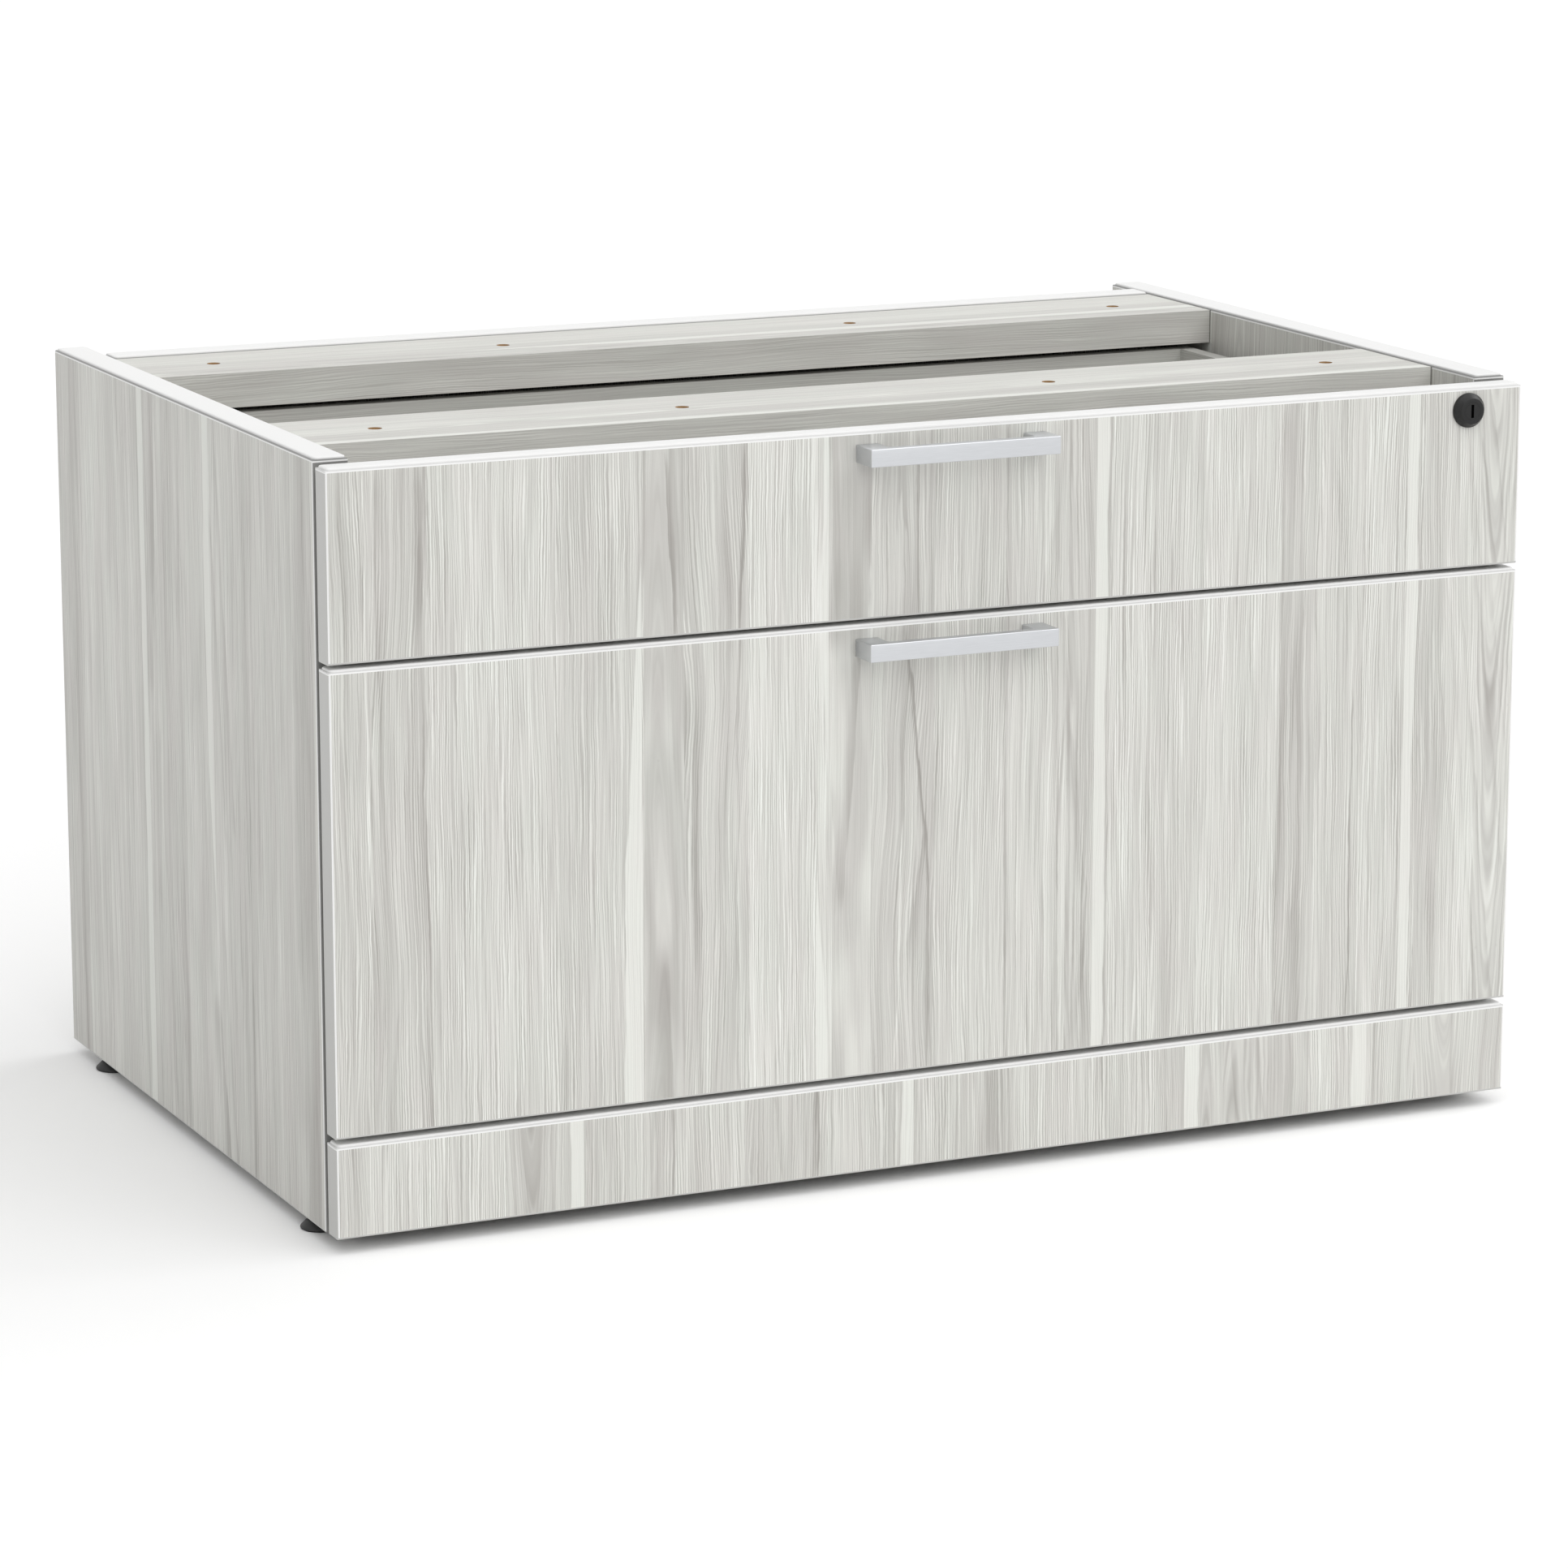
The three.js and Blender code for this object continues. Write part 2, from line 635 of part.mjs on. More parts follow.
function addSlides(drawer, boxBottom) {
  const z = boxBottom + SLIDE_RAISE;
  [['left', -1], ['right', 1]].forEach(([side, hand]) => {
    const name = `${drawer}_${side}_slide`;
    const roll = (half) => {
      const outline = memberOutline(half, SLIDE_STOCK, hand, z);
      return extrude(outline, 'y', [slideFront, slideRear]);
    };
    const outerHoles = slideHoles(0, hand, z);
    const innerHoles = slideHoles(SLIDE_SPACE - SLIDE_STOCK, hand, z);
    add(`${name}_outer`, cut(roll(outerHalfLine()), outerHoles), zincSteel);
    add(`${name}_middle`, roll(middleHalfLine()), zincSteel);
    add(`${name}_inner`, cut(roll(innerHalfLine()), innerHoles), zincSteel);
    add(`${name}_outer_cage`, cageWithBalls(outerCageHalf(), outerBall, hand, z), cageSteel);
    add(`${name}_inner_cage`, cageWithBalls(innerCageHalf(), innerBall, hand, z), cageSteel);
  });
}

// Cam lock: a flanged housing through the shallow drawer's front, a plug that turns in it, a cam on
// the plug's spigot, and a keeper on the right side panel that the turned cam goes behind.
const barrelEnd = frontBack + LOCK_BARREL_REACH;
const camFront = barrelEnd + CAM_GAP;
const camRear = camFront + CAM_THICKNESS;

function lockBore() {
  const radius = LOCK_BARREL_DIAMETER / 2 + LOCK_BORE_CLEARANCE;
  return rod(radius, 'y', [lockX, lockZ], grow([frontFace, frontBack], FRONT_THICKNESS), ROUND_SIDES);
}

function addLock() {
  const place = [lockX, lockZ];
  const lockFace = frontFace - LOCK_PROJECTION;
  const bore = PLUG_DIAMETER / 2 + PLUG_CLEARANCE;
  const flange = LOCK_FLANGE_DIAMETER / 2;
  const barrel = LOCK_BARREL_DIAMETER / 2;
  add('lock_housing', turn([
    [bore, lockFace],
    [LOCK_FACE_DIAMETER / 2, lockFace],
    [flange, frontFace - LOCK_RIM],
    [flange, frontFace],
    [barrel, frontFace],
    [barrel, barrelEnd],
    [bore, barrelEnd],
    [bore, lockFace],
  ], 'y', place), blackMetal);
  const plugFace = lockFace + PLUG_RECESS;
  const plug = turn([
    [0, plugFace],
    [PLUG_DIAMETER / 2, plugFace],
    [PLUG_DIAMETER / 2, barrelEnd],
    [SPIGOT_DIAMETER / 2, barrelEnd],
    [SPIGOT_DIAMETER / 2, camRear],
    [0, camRear],
  ], 'y', place);
  const keyway = block(
    grow([lockX, lockX], KEYWAY_WIDTH / 2),
    [plugFace - KEYWAY_DEPTH, plugFace + KEYWAY_DEPTH],
    grow([lockZ, lockZ], KEYWAY_HEIGHT / 2),
  );
  add('lock_plug', cut(plug, [keyway]), blackMetal);
  const round = CAM_WIDTH / 2;
  const cornerX = round - CAM_CORNER;
  const cornerZ = lockZ + CAM_REACH - CAM_CORNER;
  const outline = new THREE.Shape();
  outline.absarc(lockX, lockZ, round, Math.PI, 2 * Math.PI);
  outline.absarc(lockX + cornerX, cornerZ, CAM_CORNER, 0, Math.PI / 2);
  outline.absarc(lockX - cornerX, cornerZ, CAM_CORNER, Math.PI / 2, Math.PI);
  const hole = new THREE.Path();
  hole.absarc(lockX, lockZ, SPIGOT_DIAMETER / 2 + PLUG_CLEARANCE, 0, 2 * Math.PI);
  outline.holes.push(hole);
  add('lock_cam', extrude(outline, 'y', [camFront, camRear]), zincSteel);
  const lipRear = camFront - KEEPER_GAP;
  const lipFront = lipRear - KEEPER_STOCK;
  const keeper = new THREE.Shape([
    new THREE.Vector2(innerHalf, lipFront),
    new THREE.Vector2(innerHalf, lipFront + KEEPER_LENGTH),
    new THREE.Vector2(innerHalf - KEEPER_STOCK, lipFront + KEEPER_LENGTH),
    new THREE.Vector2(innerHalf - KEEPER_STOCK, lipRear),
    new THREE.Vector2(innerHalf - KEEPER_LIP, lipRear),
    new THREE.Vector2(innerHalf - KEEPER_LIP, lipFront),
  ]);
  add('lock_keeper', extrude(keeper, 'z', grow([lockZ, lockZ], KEEPER_HEIGHT / 2)), zincSteel);
}

addCarcass();
addLevellers();
addFront('upper', [upperBottom, upperTop], [lockBore()]);
addBox('upper', upperBoxBottom, upperBoxTop, []);
addPull('upper_pull', upperTop);
addSlides('upper', upperBoxBottom);
addLock();
addFront('lower', [lowerBottom, lowerTop], []);
addBox('lower', lowerBoxBottom, lowerBoxTop, fileBarNotches());
addPull('lower_pull', lowerTop);
addFileBars();
addSlides('lower', lowerBoxBottom);

export default cabinet;
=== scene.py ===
"""Lateral filing cabinet: finishes, small hardware and studio stage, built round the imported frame.

Lengths are metres in the frame's own axes: +X right, +Y to the rear, +Z up, fronts facing -Y.
Pattern sizes inside the finishes are millimetres.
"""

import math

import bmesh
import bpy
import numpy as np
from bpy.props import FloatProperty, FloatVectorProperty, PointerProperty
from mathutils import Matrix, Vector


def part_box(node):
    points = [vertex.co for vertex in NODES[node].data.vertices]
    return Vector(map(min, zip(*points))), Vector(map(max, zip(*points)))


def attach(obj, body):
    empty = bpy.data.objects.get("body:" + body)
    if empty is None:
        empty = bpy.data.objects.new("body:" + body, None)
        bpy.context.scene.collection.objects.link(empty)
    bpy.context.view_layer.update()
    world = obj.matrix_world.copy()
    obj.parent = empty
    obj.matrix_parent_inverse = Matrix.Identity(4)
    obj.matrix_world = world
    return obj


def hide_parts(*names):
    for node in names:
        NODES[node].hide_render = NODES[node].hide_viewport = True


bl_info = {
    "name": "Lateral Filing Cabinet",
    "version": (1, 0, 0),
    "blender": (4, 5, 0),
    "location": "View3D > Sidebar > Cabinet",
    "description": "Finishes, hardware and studio stage of a lateral filing cabinet",
    "category": "Object",
}

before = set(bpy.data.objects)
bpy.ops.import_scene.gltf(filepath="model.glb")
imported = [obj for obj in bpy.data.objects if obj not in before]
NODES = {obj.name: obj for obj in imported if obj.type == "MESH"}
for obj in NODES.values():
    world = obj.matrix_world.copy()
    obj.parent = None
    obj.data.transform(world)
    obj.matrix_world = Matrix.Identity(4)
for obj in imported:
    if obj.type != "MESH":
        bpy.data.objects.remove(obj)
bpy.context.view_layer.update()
MILLIMETRES = 1000.0


def paint(red, green, blue):
    """Linear colour of a display colour given from 0 to 255."""
    value = np.array((red, green, blue)) / 255
    linear = np.where(value <= 0.04045, value / 12.92, ((value + 0.055) / 1.055) ** 2.4)
    return tuple(float(part) for part in linear)


def colour(label, about, display):
    """A colour property with its default as a display colour."""
    return FloatVectorProperty(
        name=label, description=about, subtype="COLOR", size=3, min=0, max=1, default=paint(*display)
    )


def length(label, about, default):
    """A length property, in metres."""
    return FloatProperty(name=label, description=about, unit="LENGTH", precision=4, default=default)


def share(label, about, default):
    """A property from 0 to 1."""
    return FloatProperty(name=label, description=about, subtype="FACTOR", min=0, max=1, default=default)


# Settings


class LaminateSettings(bpy.types.PropertyGroup):
    """Printed wood-grain laminate of the boards."""

    deep: colour("Deep grain", "Darkest veins", (167, 164, 159))
    dark: colour("Dark grain", "Taupe grey of the veins", (186, 184, 179))
    middle: colour("Middle grain", "Grey of the figured staves", (205, 204, 199))
    pale: colour("Pale grain", "Pale grey of the straight staves", (225, 225, 219))
    light: colour("Light grain", "Lightest lines", (244, 245, 240))
    sap: colour("Sapwood", "Near-white tapered streaks", (236, 237, 231))
    raw: colour("Raw board", "Particle board inside the drilled holes", (196, 156, 108))
    # Painted shade: the drawer boxes are darkened below the other boards for the shade inside the carcass.
    box_painted_shade: share("Box shade", "Brightness of the drawer boxes beside the other boards", 0.74)
    roughness: share("Roughness", "Matt face of the laminate", 0.52)


class EdgeSettings(bpy.types.PropertyGroup):
    """Edge bands and their crowned caps."""

    cap: colour("Cap", "Off-white of the caps and rounded lips", (248, 248, 247))
    strip: colour("Strip", "Light grey of the flat edges", (202, 202, 199))
    # Painted shade: this grey stands in for the shadow in the gap behind the fronts.
    front_edge_shade: colour("Hidden edge", "Grey of the sides' front edges, behind the fronts", (138, 138, 136))
    # Painted shade: the fine line under a cap is the shade in its crease, painted in this grey.
    groove_shade: colour("Groove", "Grey of the fine line under a cap", (92, 92, 90))
    crown: length("Crown", "Height of a cap above its band", 0.0017)
    roughness: share("Roughness", "Satin face of the band", 0.42)


class MetalSettings(bpy.types.PropertyGroup):
    """Pulls, slides and other bright metal."""

    pull: colour("Pull", "Satin silver of the pulls", (209, 211, 214))
    zinc: colour("Zinc", "Zinc-plated sheet of the slides", (186, 189, 192))
    cage: colour("Cage", "Thin strip that holds the balls", (158, 161, 165))
    pull_roughness: share("Pull roughness", "Satin sheen of the pulls", 0.34)


class BlackSettings(bpy.types.PropertyGroup):
    """Lock and levelling feet."""

    lock: colour("Lock", "Satin black of the lock", (14, 14, 14))
    foot: colour("Foot", "Moulded black of the feet", (30, 30, 30))


class HardwareSettings(bpy.types.PropertyGroup):
    """Sizes of the small hardware."""

    pull_leg: length("Pull leg", "Width of a pull's leg", 0.0166)
    pull_bar: length("Pull bar", "Depth of a pull's bar", 0.0075)
    pull_corner: length("Pull corner", "Radius of a pull's corners in plan", 0.0007)
    pull_edge: length("Pull edge", "Radius along a pull's edges", 0.0006)
    lock_face: length("Lock face", "Diameter of the lock's face", 0.0190)
    lock_bore: length("Lock bore", "Diameter of the bore that the plug turns in", 0.0125)
    lock_rim: length("Lock rim", "Thickness of the lock's flange", 0.0025)
    pad_diameter: length("Foot diameter", "Diameter of a levelling foot", 0.0280)
    stem_diameter: length("Stem diameter", "Diameter of a foot's stem", 0.0080)
    stem_top: length("Stem top", "Height of the stem above the foot's underside", 0.0520)
    pitch: length("Thread pitch", "Pitch of the stem's thread", 0.00125)
    thread_depth: length("Thread depth", "Depth of the stem's thread", 0.0006)
    sheet: length("Sheet", "Thickness of the slides' sheet", 0.0012)
    screw_head: length("Screw head", "Diameter of a slide screw's head", 0.0076)
    screw_rise: length("Screw rise", "Height of a slide screw's head", 0.0009)
    screw_places: FloatVectorProperty(
        name="Screw places", description="Distances of the slide screws from the slide's front",
        unit="LENGTH", size=3, default=(0.037, 0.197, 0.357),
    )
    fixing_head: length("Fixing head", "Diameter of the screws that hold pulls and fronts", 0.0090)
    fixing_rise: length("Fixing rise", "Height of those screws' heads", 0.0024)
    rail_hole: length("Rail hole", "Diameter of the holes through the top rails", 0.0100)
    rail_holes: FloatVectorProperty(
        name="Rail holes", description="Distances of the rails' holes from the middle, on both sides",
        unit="LENGTH", size=2, default=(0.1435, 0.3719),
    )


class StageSettings(bpy.types.PropertyGroup):
    """Floor, light and camera."""

    eye: FloatVectorProperty(
        name="Eye", description="Place of the camera", subtype="XYZ", unit="LENGTH", size=3,
        default=(-1.7270, -3.7728, 1.1497),
    )
    yaw: FloatProperty(
        name="Yaw", description="Turn of the camera to the right of +Y", subtype="ANGLE",
        default=math.radians(24.612),
    )
    pitch: FloatProperty(
        name="Pitch", description="Tilt of the camera below level", subtype="ANGLE",
        default=math.radians(12.519),
    )
    focal: FloatProperty(name="Lens", description="Focal length on a 36 mm sensor, in mm", default=131.53)
    floor: colour("Floor", "Pale floor", (246, 246, 246))
    floor_seen: FloatProperty(
        name="Floor seen", description="Brightness of the floor as the camera sees it", default=1.08
    )
    floor_reach: length("Floor reach", "Half the width of the floor", 40.0)
    sky: FloatProperty(name="Sky", description="Strength of the light from all round", default=0.52)
    key: FloatProperty(name="Key", description="Strength of the wide light in front", default=1.38)
    key_spread: FloatProperty(
        name="Key spread", description="Angle across the front light", subtype="ANGLE",
        default=math.radians(80),
    )
    key_from: FloatVectorProperty(
        name="Key from", description="Direction that the front light comes from", subtype="DIRECTION",
        size=3, default=(0.05, -0.62, 0.78),
    )
    fill: FloatProperty(name="Fill", description="Strength of the light on the right", default=0.58)
    fill_spread: FloatProperty(
        name="Fill spread", description="Angle across the right light", subtype="ANGLE",
        default=math.radians(45),
    )
    fill_from: FloatVectorProperty(
        name="Fill from", description="Direction that the right light comes from", subtype="DIRECTION",
        size=3, default=(0.79, 0.12, 0.60),
    )


# Shader graphs


class Finish:
    """A material being made. Each input of its nodes takes a socket or a constant."""

    def __init__(self, name):
        self.material = bpy.data.materials.new(name)
        self.material.use_nodes = True
        self.tree = self.material.node_tree
        self.shader = self.tree.nodes["Principled BSDF"]
        self.place = self.add("ShaderNodeTexCoord").outputs["Object"]

    def add(self, kind, **settings):
        node = self.tree.nodes.new(kind)
        for key, value in settings.items():
            setattr(node, key, value)
        return node

    def feed(self, socket, value):
        if isinstance(value, bpy.types.NodeSocket):
            self.tree.links.new(value, socket)
        elif isinstance(value, (int, float)):
            socket.default_value = value
        else:
            given = tuple(value)
            socket.default_value = given + (1.0,) * (len(socket.default_value) - len(given))

    def math(self, operation, *values, clamp=False):
        node = self.add("ShaderNodeMath", operation=operation, use_clamp=clamp)
        for socket, value in zip(node.inputs, values):
            self.feed(socket, value)
        return node.outputs[0]

    def total(self, *values):
        result = values[0]
        for value in values[1:]:
            result = self.math("ADD", result, value)
        return result

    def centred(self, value, weight):
        """A value from 0 to 1 moved to lie about 0, times a weight."""
        return self.math("MULTIPLY", self.math("SUBTRACT", value, 0.5), weight)

    def along(self, axis):
        """Distance along an axis in millimetres."""
        node = self.add("ShaderNodeVectorMath", operation="DOT_PRODUCT")
        self.feed(node.inputs[0], self.place)
        self.feed(node.inputs[1], tuple(part * MILLIMETRES for part in axis))
        return node.outputs["Value"]

    def facing(self, axis):
        """How far the surface faces along an axis, from -1 to 1."""
        node = self.add("ShaderNodeVectorMath", operation="DOT_PRODUCT")
        self.feed(node.inputs[0], self.add("ShaderNodeNewGeometry").outputs["True Normal"])
        self.feed(node.inputs[1], axis)
        return node.outputs["Value"]

    def noise(self, x, y, z, detail=2.0, roughness=0.5, distortion=0.0):
        point = self.add("ShaderNodeCombineXYZ")
        for socket, value in zip(point.inputs, (x, y, z)):
            self.feed(socket, value)
        node = self.add("ShaderNodeTexNoise")
        self.feed(node.inputs["Vector"], point.outputs[0])
        self.feed(node.inputs["Scale"], 1.0)
        self.feed(node.inputs["Detail"], detail)
        self.feed(node.inputs["Roughness"], roughness)
        self.feed(node.inputs["Distortion"], distortion)
        return node.outputs["Fac"]

    def step(self, value, low, high):
        """Rises smoothly from 0 at low to 1 at high, which may lie either way round."""
        node = self.add("ShaderNodeMapRange", interpolation_type="SMOOTHSTEP")
        for socket, given in zip(node.inputs, (value, low, high, 0.0, 1.0)):
            self.feed(socket, given)
        return node.outputs[0]

    def ramp(self, factor, stops, interpolation="LINEAR"):
        node = self.add("ShaderNodeValToRGB")
        elements = node.color_ramp.elements
        node.color_ramp.interpolation = interpolation
        while len(elements) < len(stops):
            elements.new(1.0)
        for element, (position, value) in zip(elements, stops):
            element.position = position
            element.color = (*value, 1.0)
        self.feed(node.inputs[0], factor)
        return node.outputs["Color"]

    def lookup(self, factor, rows):
        """Three values that change in steps along a factor, from rows of (position, values)."""
        parts = self.add("ShaderNodeSeparateColor")
        self.feed(parts.inputs[0], self.ramp(factor, rows, "CONSTANT"))
        return tuple(parts.outputs)

    def mix(self, factor, first, second, blend="MIX"):
        node = self.add("ShaderNodeMix", data_type="RGBA", blend_type=blend)
        for socket, value in zip((node.inputs[0], node.inputs[6], node.inputs[7]), (factor, first, second)):
            self.feed(socket, value)
        return node.outputs[2]

    def bump(self, height, strength, distance):
        node = self.add("ShaderNodeBump")
        self.feed(node.inputs["Strength"], strength)
        self.feed(node.inputs["Distance"], distance)
        self.feed(node.inputs["Height"], height)
        self.feed(self.shader.inputs["Normal"], node.outputs[0])

    def surface(self, **values):
        """Sets the shader's inputs, named with underscores for spaces."""
        names = {socket.name.lower().replace(" ", "_"): socket for socket in self.shader.inputs}
        for name, value in values.items():
            self.feed(names[name], value)
        return self.material


# Surfaces


def stack(rings, closed=False):
    """Points and faces of a stack of rings, shaped (rings, points, 3).

    Each ring closes on itself and each pair of rings is joined by quads. The first and last rings
    get one face each, or are joined to each other where the stack is closed.
    """
    count, sides = rings.shape[:2]
    index = np.arange(count * sides).reshape(count, sides)
    lower = index if closed else index[:-1]
    upper = np.roll(index, -1, axis=0) if closed else index[1:]
    quads = np.stack((lower, np.roll(lower, -1, axis=1), np.roll(upper, -1, axis=1), upper), axis=-1)
    faces = quads.reshape(-1, 4).tolist()
    if not closed:
        faces += [index[0, ::-1].tolist(), index[-1].tolist()]
    return rings.reshape(-1, 3), faces


def turned(profile, sides, centre, axis):
    """Rings of a turned shape: each (radius, height) of the profile is carried round an axis."""
    angle = np.linspace(0.0, 2 * np.pi, sides, endpoint=False)
    radius, height = np.asarray(profile, dtype=float).T
    return placed(radius[:, None] * np.cos(angle), radius[:, None] * np.sin(angle), height[:, None], centre, axis)


def placed(first, second, third, centre, axis):
    """Points from three coordinates, the third of them along an axis through a centre."""
    up = np.asarray(axis, dtype=float)
    side = np.cross(up, (0.0, 0.0, 1.0) if abs(up[2]) < 0.5 else (0.0, 1.0, 0.0))
    side /= np.linalg.norm(side)
    ahead = np.cross(up, side)
    parts = np.broadcast_arrays(first, second, third)
    return np.asarray(centre) + sum(part[..., None] * way for part, way in zip(parts, (side, ahead, up)))


def piece(name, shells, body, material, crease=35.0):
    """Makes one object of several closed shells, facing outwards, and lets it ride on a body."""
    points, faces, first = [], [], 0
    for shell_points, shell_faces in shells:
        points.append(shell_points)
        faces += [[first + corner for corner in face] for face in shell_faces]
        first += len(shell_points)
    mesh = bpy.data.meshes.new(name)
    mesh.from_pydata(np.concatenate(points).tolist(), [], faces)
    solid = bmesh.new()
    solid.from_mesh(mesh)
    bmesh.ops.recalc_face_normals(solid, faces=solid.faces)
    solid.to_mesh(mesh)
    solid.free()
    mesh.polygons.foreach_set("use_smooth", np.ones(len(mesh.polygons), dtype=bool))
    mesh.set_sharp_from_angle(angle=math.radians(crease))
    mesh.materials.append(material)
    thing = bpy.data.objects.new(name, mesh)
    bpy.context.scene.collection.objects.link(thing)
    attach(thing, body)
    return thing


def rounded_outline(corners, radius, steps):
    """Closed outline through corners, each turned into an arc, and its outward normals.

    The corners run anticlockwise. An arc starts and ends the same distance from its corner, and its
    normal turns evenly from that of the edge before to that of the edge after.
    """
    corners = np.asarray(corners, dtype=float)
    ahead = np.roll(corners, -1, axis=0) - corners
    ahead /= np.linalg.norm(ahead, axis=1)[:, None]
    behind = np.roll(ahead, 1, axis=0)
    start = np.arctan2(-behind[:, 0], behind[:, 1])
    bend = np.arctan2(
        behind[:, 0] * ahead[:, 1] - behind[:, 1] * ahead[:, 0], (behind * ahead).sum(axis=1)
    )
    angle = start[:, None] + bend[:, None] * np.linspace(0.0, 1.0, steps)
    normal = np.stack((np.cos(angle), np.sin(angle)), axis=-1)
    reach = radius * np.tan(np.abs(bend) / 2)
    hand = (np.sign(bend) * radius)[:, None, None]
    points = (corners - behind * reach[:, None])[:, None] + hand * (normal - normal[:, :1])
    return points.reshape(-1, 2), normal.reshape(-1, 2)


def rounded_prism(corners, bottom, top, corner_radius, edge_radius, steps=5):
    """Rings of an upright prism with rounded corners and rounded edges.

    The outline is drawn in along its normals by a quarter circle at the bottom and at the top.
    """
    outline, normal = rounded_outline(corners, corner_radius, steps)
    turn = np.linspace(0.0, np.pi / 2, steps)
    inset = edge_radius * (1 - np.sin(turn))
    rise = edge_radius * (1 - np.cos(turn))
    inset = np.concatenate((inset, inset[::-1]))
    height = np.concatenate((bottom + rise, top - rise[::-1]))
    flat = outline[None] - inset[:, None, None] * normal[None]
    return np.concatenate((flat, np.broadcast_to(height[:, None, None], (*flat.shape[:2], 1))), axis=-1)


def pan_head(centre, axis, radius, height):
    """Rings of a screw head: a flattened dome over a disc, with a cross sunk into it.

    The dome's height falls off with the fourth power of the distance from the axis. The cross is two
    bars, each a product of smooth steps over its width and its length.
    """
    share = np.concatenate((np.linspace(0.02, 0.62, 9), np.linspace(0.72, 1.0, 4)))[::-1, None]
    angle = np.linspace(0.0, 2 * np.pi, 32, endpoint=False)
    across, along = share * np.cos(angle), share * np.sin(angle)

    def bar(wide, far):
        return np.clip((0.16 - np.abs(wide)) / 0.06, 0, 1) * np.clip((0.56 - np.abs(far)) / 0.10, 0, 1)

    sunk = 0.62 * np.maximum(bar(across, along), bar(along, across))
    rise = height * ((1 - 0.55 * share**4) - sunk)
    base = np.stack((radius * np.cos(angle), radius * np.sin(angle), np.zeros_like(angle)), axis=-1)[None]
    dome = np.stack((radius * across, radius * along, np.broadcast_to(rise, across.shape)), axis=-1)
    rings = np.concatenate((base, dome))
    return placed(rings[..., 0], rings[..., 1], rings[..., 2], centre, axis)


def threaded_foot(centre, settings):
    """Rings of a levelling foot: a turned pad and a stem whose radius follows a screw thread.

    On the stem the radius is the core's plus a ridge that rises and falls once for each pitch of
    height and each turn, fading in above the pad and out at the end.
    """
    half, stem = settings.pad_diameter / 2, settings.stem_diameter / 2
    pad = [
        (0.3 * half, 0.0), (half - 0.0012, 0.0), (half - 0.0004, 0.0003), (half, 0.0009), (half, 0.0015),
        (half - 0.0003, 0.0021), (0.0081, 0.0076), (0.0074, 0.0080), (stem + 0.0004, 0.0080),
    ]
    bottom, top = 0.0080, settings.stem_top
    rows = int((top - bottom) / settings.pitch * 6)
    height = np.linspace(bottom, top, rows)[:, None]
    angle = np.linspace(0.0, 2 * np.pi, 32, endpoint=False)
    phase = height / settings.pitch - angle / (2 * np.pi)
    ridge = 0.5 + 0.5 * np.cos(2 * np.pi * phase)
    fade = np.clip((height - bottom) / 0.003, 0, 1) * np.clip((top - height) / 0.0015, 0, 1)
    radius = stem - settings.thread_depth * (1 - ridge * fade)
    shaft = np.stack(
        (radius * np.cos(angle), radius * np.sin(angle), np.broadcast_to(height, radius.shape)), axis=-1
    )
    lower = turned(pad, 32, (0.0, 0.0, 0.0), (0.0, 0.0, 1.0))
    upright = placed(shaft[..., 0], shaft[..., 1], shaft[..., 2], (0.0, 0.0, 0.0), (0.0, 0.0, 1.0))
    return np.concatenate((lower, upright)) + np.asarray(centre)


def dress(material, *nodes):
    """Puts a finish on CAD nodes."""
    for node in nodes:
        NODES[node].material_slots[0].material = material


# Laminate


class Board:
    """How the printed staves lie on one board.

    across and along are the axes over and with the grain, and start is where the first stave begins
    across the board. A stave is (offset, tone, figure, calm, arch): its offset from start, its tone on
    the display scale, how far its lines bend and gather into veins, how far they give way to soft
    plain patches, and how far they close into arches, which point up where arch is positive and down
    where it is negative. A streak is (edge, width, tip, run): white sapwood lies on one side of a
    straight edge, on the far side where width is positive, and thins out over the run to nothing at
    the tip's height along the grain. A vein is (first, last, low, high, fade, depth): a line from the
    offset first at the height low to the offset last at the height high, with a sharp edge, fading
    away to the far side over fade, or to the near side where fade is negative, and darker than the
    stave by depth, or lighter where depth is negative. All lengths are millimetres. Contrast is the
    strength of the whole figure.
    """

    def __init__(self, across, along, start, breadth, seed, staves, streaks, veins=(), contrast=1.0):
        self.across, self.along = across, along
        self.start, self.breadth, self.seed = start, breadth, seed
        self.staves, self.streaks, self.veins, self.contrast = staves, streaks, veins, contrast


WHOLE = (None, None)
SIDE_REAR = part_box("left_side_edge_band")[1].y * MILLIMETRES
LEFT_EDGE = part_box("base_front_edge_band")[0].x * MILLIMETRES
RAIL_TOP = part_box("front_top_rail")[1].z * MILLIMETRES
FRONT_RAIL_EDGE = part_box("front_top_rail")[0].y * MILLIMETRES
REAR_RAIL_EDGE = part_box("rear_top_rail")[0].y * MILLIMETRES
TONE_LOW, TONE_HIGH = 165, 245

